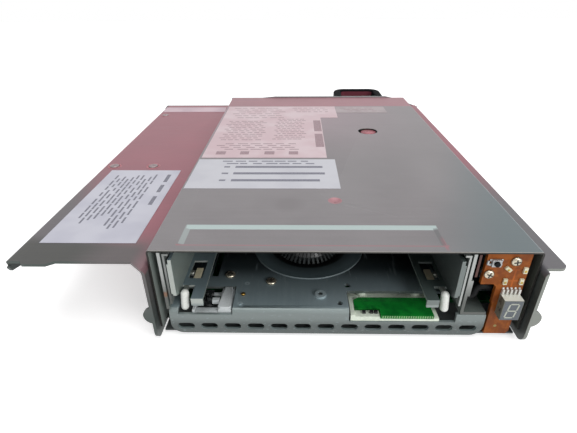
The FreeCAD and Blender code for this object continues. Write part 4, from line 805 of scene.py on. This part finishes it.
# Painted highlights on two small rims.
for x, setback in ((-40.2, 4.0), (-38.6, 17.0)):
    small_ring = place.far_from(x, front + setback, deck_top).within(0.5, 1.0, 0.3) * 0.7
    tinted(deck_plate, small_ring, "aab9bd")
scuffs = place.stretched(0.4, 0.05, 1).noise(1.2, 2.0).step(0.60, 0.72) * 0.35
tinted(deck_plate, scuffs, "95a2a5")
dressed("base_chassis", deck_plate)
deck_screw_places = []
for low, high in solids("deck_screws"):
    spot = ((low.x + high.x) / 2, (low.y + high.y) / 2, low.z)
    if high.x - low.x > 3:
        deck_screw_places.append(spot)
    else:
        brass_pin = spot
screw_heads("deck_screws", deck_screw_places, 2.3, 1.1, (0, 0, 1), 7)
brass = sheet_metal("brass", "b8974c", "94753a", 0.85, 0.3, (0.5, 0.5, 0.5))
pin = spread_copies("brass_pin", lathe("pin", [(0, 0), (0.9, 0), (0.9, 0.55), (0.6, 0.8), (0, 0.8)]),
                    [brass_pin], brass)
shown(pin, "deck_screws", False)

# ---------------------------------------------------------------- spindle
# Turned plate in the deck's round opening, with the motor's recess, and the moulded chuck
# whose ring of tapered teeth takes the cartridge's reel.
hub_x = -11.5
hub_y = front + 46.5
turned_plate = sheet_metal("turned_plate", "5a686c", "4c5a5e", 0.3, 0.34, (0.3, 0.3, 0.3))
place = place_in(turned_plate)
ring = place.far_from(hub_x, hub_y, deck_top)
lit_rim = ring.step(25.8, 26.1) * place.axis("Y").step(-60, -76)
tinted(turned_plate, lit_rim, "7f8c8f")
towards_chuck = ring.step(24, 19) * 0.6
tinted(turned_plate, towards_chuck, "2b3234")
# Painted shade in the motor's recess.
recess_wall = ring.step(19.2, 17.8)
tinted(turned_plate, recess_wall, "0c0d0e")
# Painted shade below the deck.
below_deck = place.axis("Z").step(13.9, 13.4)
tinted(turned_plate, below_deck, "16191a")
dressed("supply_motor", turned_plate)
chuck_plastic = moulded("chuck_plastic", "242829", "191c1d", 0.35, 2.0)
place = place_in(chuck_plastic)
# Painted shade on the chuck below the deck.
below_teeth = place.axis("Z").step(deck_top, 13.2)
tinted(chuck_plastic, below_teeth, "090a0a")
dressed("supply_chuck", chuck_plastic, 25)
ridge_count = 40
ridge = bmesh.new()
for side in (-0.42, 0.42):
    ridge.faces.new([ridge.verts.new(Vector((radius, side * width, height)) * MM)
                     for radius, width, height in ((12.2, 1, 0.05), (15.0, 1.3, 0.05), (12.2, 0.8, 2.8))])
ridge.verts.ensure_lookup_table()
for a, b in ((0, 1), (1, 2), (2, 0)):
    ridge.faces.new([ridge.verts[k] for k in (a, b, b + 3, a + 3)])
bmesh.ops.recalc_face_normals(ridge, faces=ridge.faces)
# Painted highlight: the ridges are a lighter copy of the chuck's black plastic.
ridge_highlight_plastic = moulded("ridge_highlight_plastic", "3c4142", "2c3031", 0.4, 2.0)
ridges = spread_copies("chuck_ridges", mesh_from(ridge, "ridge"), [(hub_x, hub_y, 13.0)] * ridge_count,
                       ridge_highlight_plastic, turns=[math.tau * k / ridge_count for k in range(ridge_count)])
shown(ridges, "supply_chuck", False)

# ---------------------------------------------------------------- take-up reel and motor
# A black moulded reel with round windows in its flanges, turned by a second flat motor that is
# seated against the deck's underside.
motor_plate = sheet_metal("motor_plate", "7f8485", "6b7071", 0.5, 0.35, (0.3, 0.3, 0.3))
dressed("takeup_motor", motor_plate)
reel_plastic = moulded("reel_plastic", "2a2c2e", "1c1e20", 0.4)
dressed("takeup_reel", reel_plastic)

# ---------------------------------------------------------------- rollers and tape head
# Flanged alloy rollers turn on steel posts and lead the tape past the head. The head slides up
# and down on two rods that stand on a moulded foot.
dressed("roller_posts", zinc)
roller_alloy = sheet_metal("roller_alloy", "c9cac8", "b2b3b1", 0.9, 0.22, (0.05, 0.05, 1.0))
for number in range(1, 5):
    dressed("guide_roller_" + str(number), roller_alloy)
dressed("head_base", fan_plastic)
head_ceramic = moulded("head_ceramic", "8f9294", "7c7f81", 0.25, 4.0)
place = place_in(head_ceramic)
tape_face = place.axis("X").step(63.1, 62.9)
tinted(head_ceramic, tape_face, "3d4144")
dressed("tape_head", head_ceramic)

# ---------------------------------------------------------------- loader drive
# A small canned motor on a bent bracket, its brass pinion and the white acetal gear whose
# teeth push the left cam plate's rack.
loader_can = sheet_metal("loader_can", "8d9294", "777c7e", 0.6, 0.3, (0.3, 0.3, 0.02))
dressed("loader_motor", loader_can)
dressed("loader_pinion", brass)
acetal = moulded("acetal", "eceee9", "dcded8", 0.32, 1.5, 0.00001)
dressed("loader_gear", acetal)
bracket_plate = sheet_metal("bracket_plate", "6f7b7e", "5d696c", 0.35, 0.38)
dressed("loader_bracket", bracket_plate)

# ---------------------------------------------------------------- cam plates and bay walls
# Thin plated sheets beside the cartridge bay. The cam plates slide between the tray and the walls; their
# front edges carry painted highlights, painted darker as shade lower down and on the left, and a little
# rust sits near the left foot.
wall_plate = sheet_metal("wall_plate", "7b8480", "6a736f", 0.35, 0.36, (0.4, 0.4, 0.02))
place = place_in(wall_plate)
# Painted highlight on the front edges, with painted shade lower down.
ends = facing(wall_plate, "Y").step(-0.7, -0.95)
tinted(wall_plate, ends, "a2a5a3")
tinted(wall_plate, ends * place.axis("Z").step(34, 18), "595c59")
rust = place.far_from(-68.7, front + 0.5, 21.5).step(1.9, 0.6)
tinted(wall_plate, rust, "7a5c48")
for node in ("bay_wall_left", "bay_wall_right"):
    dressed(node, wall_plate)
cam_sheet = sheet_metal("cam_sheet", "8b918f", "7a807e", 0.35, 0.34, (0.4, 0.02, 0.4))
place = place_in(cam_sheet)
# Painted highlight on the front edges, with painted shade on the left side and lower down.
ends = facing(cam_sheet, "Y").step(-0.7, -0.95)
left_side = place.axis("X").step(10, -10)
tinted(cam_sheet, ends, "a0a3a1")
tinted(cam_sheet, ends * left_side, "7a7d7b")
tinted(cam_sheet, ends * place.axis("Z").step(34, 18) * left_side, "4c4f4c")
for node in ("cam_plate_left", "cam_plate_right", "cam_link"):
    dressed(node, cam_sheet)

# ---------------------------------------------------------------- cartridge tray
# Two stamped sides with ledges, joined by a rear wall. Cream wear pads sit in the ledge
# windows, each with a steel clip beside it, and white acetal fingers guide the cartridge.
tray_plate = sheet_metal("tray_plate", "949f9a", "848f8a", 0.3, 0.36, (0.4, 0.02, 0.4))
place = place_in(tray_plate)
# Painted shade by facing: the top faces are darker and bluer, darker still on the right.
tops = facing(tray_plate, "Z").step(0.7, 0.9)
right_side = place.axis("X").step(10, 20)
tinted(tray_plate, tops, "7c8c92")
tinted(tray_plate, tops * right_side, "55625f")
# Painted light on the front ends: a painted highlight above the ledge, painted shade on the right.
ends = facing(tray_plate, "Y").step(-0.7, -0.95)
above_ledge = place.axis("Z").step(16.5, 17.5)
tinted(tray_plate, ends, "87908f")
tinted(tray_plate, ends * above_ledge, "a4aaa5")
tinted(tray_plate, ends * above_ledge * right_side, "6c7472")
# Painted shade on the right side's inner face.
inner_right_shade = facing(tray_plate, "X").step(-0.6, -0.9) * place.axis("X").step(40, 43)
tinted(tray_plate, inner_right_shade, "5c6463")
for node in ("tray_side_left", "tray_side_right", "tray_bridge"):
    dressed(node, tray_plate, 32, 0.15)
dressed("tray_pins", zinc)
cream_plastic = moulded("cream_plastic", "d6cdb4", "c0b799", 0.4, 1.5)
place = place_in(cream_plastic)
shaded_pad = place.axis("X").step(10, 20) * 0.55
tinted(cream_plastic, shaded_pad, "8d8672")
dressed("ledge_pads", cream_plastic, 60, 0.3)
clip_steel = sheet_metal("clip_steel", "9fa19a", "6f716b", 0.7, 0.3, (0.6, 0.6, 0.6))
clip_gap = 1.3
clip_setback = 0.8
clip_foot = 1.6
clip_places = []
for low, high in solids("ledge_pads"):
    beside = low.x - clip_gap if low.x < 0 else high.x + clip_gap
    clip_places.append((beside, (low.y + high.y) / 2 + clip_setback, high.z - clip_foot))
clip = lathe("clip", [(0, 0), (1.15, 0), (1.15, 1.5), (0.8, 1.75), (0, 1.8)])
clips = spread_copies("pad_clips", clip, clip_places, clip_steel)
shown(clips, "ledge_pads", False)
dressed("guide_shoes", acetal, 60)

# ---------------------------------------------------------------- cartridge sensor
# A white moulding hooked through the deck holds a black lever on a pin. The cartridge presses
# the lever down as it goes in.
sensor_white = moulded("sensor_white", "c8cdce", "b5bbbd", 0.35, 1.2, 0.00001)
dressed("sensor_bracket", sensor_white, 60, 0.7)
lever_plastic = moulded("lever_plastic", "26282a", "141516", 0.22, 2.0, 0.00003)
dressed("sensor_lever", lever_plastic, 60, 0.3)

# ---------------------------------------------------------------- cartridge memory reader
# A bright green board in a milky plastic frame under the deck's front edge, with a comb of
# bare pads along its leading edge.
reader_green = circuit_board("reader_green", "0d5a24", "16822f", 2.6, 0.3)
place = place_in(reader_green)
shaded_end = place.axis("X").step(8, 22) * 0.35
tinted(reader_green, shaded_end, "0a6b22")
dressed("reader_board", reader_green)
board_low, board_high = [Vector(end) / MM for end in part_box("reader_board")]
pad_count = 22
pad_pitch = 0.94
pads = [(board_high.x - 0.6 - k * pad_pitch, board_low.y, board_low.z + 0.1) for k in range(pad_count)]
pad_tin = sheet_metal("pad_tin", "9dbb8c", "7f9f70", 0.3, 0.35, (0.6, 0.6, 0.6))
comb = spread_copies("reader_pads", box_mesh("pad", (-0.17, -0.06, 0.2), (0.17, 0.4, 1.3)),
                     pads, pad_tin)
shown(comb, "reader_board", False)
frame_plastic = moulded("frame_plastic", "e2ebdb", "cfd9c9", 0.4, 1.0)
dressed("reader_frame", frame_plastic, 60, 0.2)

# ---------------------------------------------------------------- front status board
# Phenolic board with copper-orange mask on an upright bracket: push switch, four chip lamps, a
# one-digit display on five pins, two screws and a black lead that leaves behind its notch.
bracket_steel = sheet_metal("bracket_steel", "3a3d3e", "2c2f30", 0.3, 0.5)
dressed("panel_bracket", bracket_steel)
orange_board = circuit_board("orange_board", "7c3f13", "935019", 3.4, 0.42)
place = place_in(orange_board)
across, up = place.axis("X"), place.axis("Z")
upright_track = across.within(64.4, 64.9, 0.12) * up.within(25.6, 34.4, 0.2)
middle_track = up.within(29.0, 29.35, 0.12) * across.within(62.2, 67.4, 0.2)
upper_track = up.within(34.1, 34.4, 0.12) * across.within(62.5, 66.0, 0.2)
tinted(orange_board, (upright_track | middle_track | upper_track) * 0.8, "b25c20")
dark_clouds = place.noise(0.25, 2.0).step(0.5, 0.62) * 0.5
tinted(orange_board, dark_clouds, "66300c")
bare_pad = place.far_from(63.2, front + 0.5, 6.4).step(0.75, 0.5)
tinted(orange_board, bare_pad, "8d8050")
dressed("front_panel_board", orange_board)
board_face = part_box("front_panel_board")[0][1] / MM
screw_spots = [((low.x + high.x) / 2, board_face, (low.z + high.z) / 2)
               for low, high in solids("panel_board_screws")]
screw_heads("panel_board_screws", screw_spots, 1.9, 1.2, (0, -1, 0), 12, (1.1, 3.4))
switch_steel = sheet_metal("switch_steel", "a9abac", "949697", 0.6, 0.32)
dressed("switch_body", switch_steel, 32, 0.15)
button_rubber = moulded("button_rubber", "101113", "08090a", 0.5, Specular_IOR_Level=0.1)
dressed("eject_button", button_rubber)

lamp_white = moulded("lamp_white", "ddd9bf", "c5c0a2", 0.3, 1.5)
dressed("panel_lamps", lamp_white)
lamp_yellow = moulded("lamp_yellow", "c9a93c", "b08e2a", 0.25, 2.0)
lamp_spots = [((low.x + high.x) / 2, low.y, (low.z + high.z) / 2 - 0.25)
              for low, high in solids("panel_lamps")]
dome = lathe("dome", [(0, -0.1), (0.5, -0.1), (0.5, 0.08), (0.32, 0.2), (0, 0.24)], (0, -1, 0), 12)
domes = spread_copies("lamp_domes", dome, lamp_spots, lamp_yellow)
shown(domes, "panel_lamps", False)

display_parts = solids("display_module")
display_low, display_high = max(display_parts, key=lambda pair: pair[1].z - pair[0].z)
# Painted light by facing: the white body's sides carry a grey painted shade, its top face is painted pale
# as lit, and its left face is darker still.
display_white = moulded("display_white", "83867f", "6f726b", 0.35, 1.5)
place = place_in(display_white)
top_face = facing(display_white, "Z").step(0.6, 0.9)
tinted(display_white, top_face, "d3d5ca")
left_face = facing(display_white, "X").step(-0.7, -0.9)
tinted(display_white, left_face, "6a6b60")
moulded_pips = place.stretched(1, 1, 0.7).cells(0.9).step(0.42, 0.34) * left_face
near_front = place.axis("Y").within(board_face - 3.4, board_face - 1.0, 0.3)
tinted(display_white, moulded_pips * near_front, "2c2d2d")
dressed("display_module", display_white, 32, 0.12)
face_grey = moulded("display_face_grey", "5f656b", "555b61", 0.3, 2.0, Specular_IOR_Level=0.3)
face = box_mesh("display_face", (display_low.x + 0.25, display_low.y - 0.12, display_low.z + 0.2),
                (display_high.x - 0.25, display_low.y + 0.05, display_high.z - 0.35))
face.materials.append(face_grey)
shown(placed("display_face", face), "display_module", False)
segment_white = moulded("segment_white", "b5b9ac", "a5a99d", 0.4, 2.0)
centre = (display_low + display_high) / 2
slant = math.tan(math.radians(9))
digit_half = 1.7
digit_rise = 3.3
bar_half = 0.27
bar_gap = 0.24
bar_depth = 0.04
bars = bmesh.new()
for x0, z0, x1, z1 in ((-1, 1, 1, 1), (-1, 0, 1, 0), (-1, -1, 1, -1), (-1, 1, -1, 0), (1, 1, 1, 0),
                       (-1, 0, -1, -1), (1, 0, 1, -1)):
    ends = [Vector((x * digit_half, z * digit_rise)) for x, z in ((x0, z0), (x1, z1))]
    run = (ends[1] - ends[0]).normalized()
    side = Vector((-run.y, run.x)) * bar_half
    ends = [ends[0] + run * bar_gap, ends[1] - run * bar_gap]
    outline = [ends[0] + side, ends[1] + side, ends[1] - side, ends[0] - side]
    add_prism(bars, [(centre.x + point.x + point.y * slant, display_low.y - 0.13,
                      centre.z - 0.1 + point.y) for point in outline], (0, -bar_depth, 0))
bmesh.ops.recalc_face_normals(bars, faces=bars.faces)
digit = mesh_from(bars, "display_digit")
digit.materials.append(segment_white)
shown(placed("display_digit", digit), "display_module", False)
pin_tin = sheet_metal("pin_tin", "e2e2de", "c4c4c0", 0.4, 0.3, (0.6, 0.6, 0.6))
pin_spots = [((low.x + high.x) / 2, high.y, low.z) for low, high in display_parts
             if high.z - low.z < 5]
pins = spread_copies("display_pins", box_mesh("pin", (-0.38, -1.1, 0), (0.38, 0, 2.45)), pin_spots, pin_tin)
shown(pins, "display_module", False)
cone = lathe("solder", [(0, 0), (0.55, 0), (0.4, 0.3), (0, 0.42)], (0, -1, 0), 10)
solder = spread_copies("pin_solder", cone, [(x, y, z + 2.5) for x, y, z in pin_spots], pin_tin)
shown(solder, "display_module", False)

lead_rubber = moulded("lead_rubber", "0e0f10", "08090a", 0.5, 2.0, Specular_IOR_Level=0.15)
dressed("panel_cable", lead_rubber, 60)
flex_film = moulded("flex_film", "54271b", "3b1810", 0.4, 2.0)
flex = box_mesh("flex_strip", (50.2, front + 0.9, 30.5), (51.1, front + 1.1, 40.6))
flex.materials.append(flex_film)
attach(placed("flex_strip", flex), "drive_frame")

# ---------------------------------------------------------------- top cover
# One plated steel sheet over the whole drive, pressed with a shallow strip near its front and pierced by
# one collared hole. Its sheared front edge is painted dark as shade, with a painted highlight along its
# outer line; pink patches are painted reflection, and the strip's slopes, the hole's collar, the underside
# and the inner faces carry painted light and shade. Three paper labels lie on it, with plain rules where
# words would be.
cover_top = 42.5
cover_plate = sheet_metal("cover_plate", "848082", "7b7779", 0.25, 0.4, (0.02, 0.35, 0.35))
place = place_in(cover_plate)
across, depth = place.axis("X"), place.axis("Y")
# Painted reflection of pink surroundings towards the rear.
pink_reflection_rear = depth.step(-30, 90) * across.step(90, -40) * 0.7
tinted(cover_plate, pink_reflection_rear, "a08690")
# Painted shade: darker and blue-green towards the front right.
blue_green_shade_right = (across + depth * -0.35).step(60, 98) * 0.95
tinted(cover_plate, blue_green_shade_right, "636e71")
smudge = place.far_from(-21, front + 37, cover_top).step(10, 2) * 0.35
tinted(cover_plate, smudge, "6c6769")
# Painted reflection: pink in the pressed dimple.
dimple_reflection = place.far_from(0, front + 40.6, cover_top).step(3.3, 3.0)
tinted(cover_plate, dimple_reflection, "a2757b")
# Painted reflection: pink lines along the pressed strip's front slope and right end.
strip_front = depth.within(front + 3.7, front + 4.3, 0.3) * across.within(-62.5, 39.4, 0.4)
strip_end = across.within(38.0, 38.7, 0.5) * depth.within(front + 3.6, front + 8, 4)
tinted(cover_plate, (strip_front | strip_end) * 0.75, "a06870")
# Painted highlight on the strip's back and left slopes, painted shade on its right slope.
back_slope = depth.within(front + 16.4, front + 18.7, 0.3) * across.within(-61.5, 38.6, 0.5)
left_slope = across.within(-61.9, -60.2, 0.4) * depth.within(front + 5.2, front + 18.6, 0.5)
tinted(cover_plate, (back_slope | left_slope * 0.45) * 0.85, "b3c4c2")
right_slope = across.within(37.4, 38.6, 0.3) * depth.within(front + 5, front + 17, 0.5) * 0.6
tinted(cover_plate, right_slope, "5f6062")
# Painted shade inside the hole's collar.
hole_collar = place.far_from(29.1, front + 140.7, cover_top).step(6.5, 6.2)
tinted(cover_plate, hole_collar, "151516")
# Painted shade on the underside and on the right wall's inner face; the left wall's inner face is painted
# lighter as lit.
underside = facing(cover_plate, "Z").step(-0.4, -0.7)
tinted(cover_plate, underside, "16181a")
inner_right_shade = facing(cover_plate, "X").step(-0.5, -0.9) * across.step(70, 71)
tinted(cover_plate, inner_right_shade, "565b56")
inner_left_lit = facing(cover_plate, "X").step(0.5, 0.9) * across.step(-70, -71)
tinted(cover_plate, inner_left_lit, "9aa39e")
# Painted shade on the front edge, with painted highlights along its outer line and its left end.
front_facing = facing(cover_plate, "Y").step(-0.6, -0.9)
tinted(cover_plate, front_facing, "1d1b18")
outer_line_highlight = place.axis("Z").step(42.15, 42.35) | abs(across).step(74.3, 74.5)
tinted(cover_plate, front_facing * outer_line_highlight, "97958f")
tinted(cover_plate, front_facing * across.step(-74.3, -74.5), "b9beba")
dressed("top_cover", cover_plate, 12)
# Painted reflection: a pink disc under the hole stands for pink surroundings mirrored there.
hole_pink_reflection = moulded("hole_pink_reflection", "b06a73", "a05a64", 0.35, 1.0)
hole_disc = spread_copies("hole_disc", lathe("disc", [(0, -0.4), (4.9, -0.4), (4.9, 0), (0, 0)]),
                          [(29.5, front + 140.8, 41.9)], hole_pink_reflection)
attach(hole_disc, "drive_frame")
front_paper = label_paper("cover_label_paper", "c4c4cb", "bdbdc5")
label("cover_label_front", [(-71.5, front + 53.0), (3.7, front + 53.0), (3.7, front + 90.5),
                            (-71.5, front + 90.5)], cover_top, front_paper)
rules("cover_front_rules", cover_top, [(-58, front + 87.6, 42, 50, 2, 3.4)], 1.3, rule_ink, "X", 11, 7)
rules("cover_front_bars", cover_top, [(-50, front + 79.5, 44, 52, 3, 8.6)], 2.6, rule_ink, "X", 14)
rules("cover_front_marks", cover_top, [(-56, front + 79.5, 3, 4, 3, 8.6)], 1.8, rule_ink, "X", 15)
rear_paper = label_paper("rear_cover_label_paper", "d0bcc1", "c8aeb4")
label("cover_label_rear", [(-71.0, front + 93.0), (-0.5, front + 93.0), (-0.5, front + 172.0),
                           (12.0, front + 172.0), (12.0, front + 203.0), (-71.0, front + 203.0)],
      cover_top, rear_paper)
pink_ink = material("pink_ink", Roughness=0.5)
place = place_in(pink_ink)
feed(pink_ink, "Base Color", place.noise(1.2, 2.0).step(0.35, 0.6).mix(shade("a28a90"), shade("927a80")))
rules("cover_rear_rules", cover_top,
      [(-66, front + 198, 30, 36, 6, 5.2), (-22, front + 198, 20, 26, 3, 5.2),
       (-67, front + 163, 22, 26, 12, 3.6), (-33, front + 168, 16, 19, 13, 3.6),
       (-67, front + 116, 40, 46, 4, 3.2)], 1.1, pink_ink, "X", 21, 6)
rules("cover_rear_bars", cover_top, [(-3.5, front + 165, 24, 25, 1, 5), (-3.5, front + 135, 24, 25, 1, 5)],
      5.0, pink_ink, "Y", 26)
rules("cover_rear_marks", cover_top,
      [(x, front + 100.5, 5, 6, 1, 9) for x in (-64, -50, -36, -22)], 5.0, pink_ink, "X", 28)
corner_paper = label_paper("corner_label_paper", "a4979a", "988b8e")
label("cover_label_corner", [(12.3, front + 185.0), (50.0, front + 185.0), (50.0, front + 202.0),
                             (12.3, front + 202.0)], cover_top, corner_paper)
rules("cover_corner_rules", cover_top, [(16, front + 198, 20, 25, 3, 4.2)], 1.2, pink_ink, "X", 31, 4)
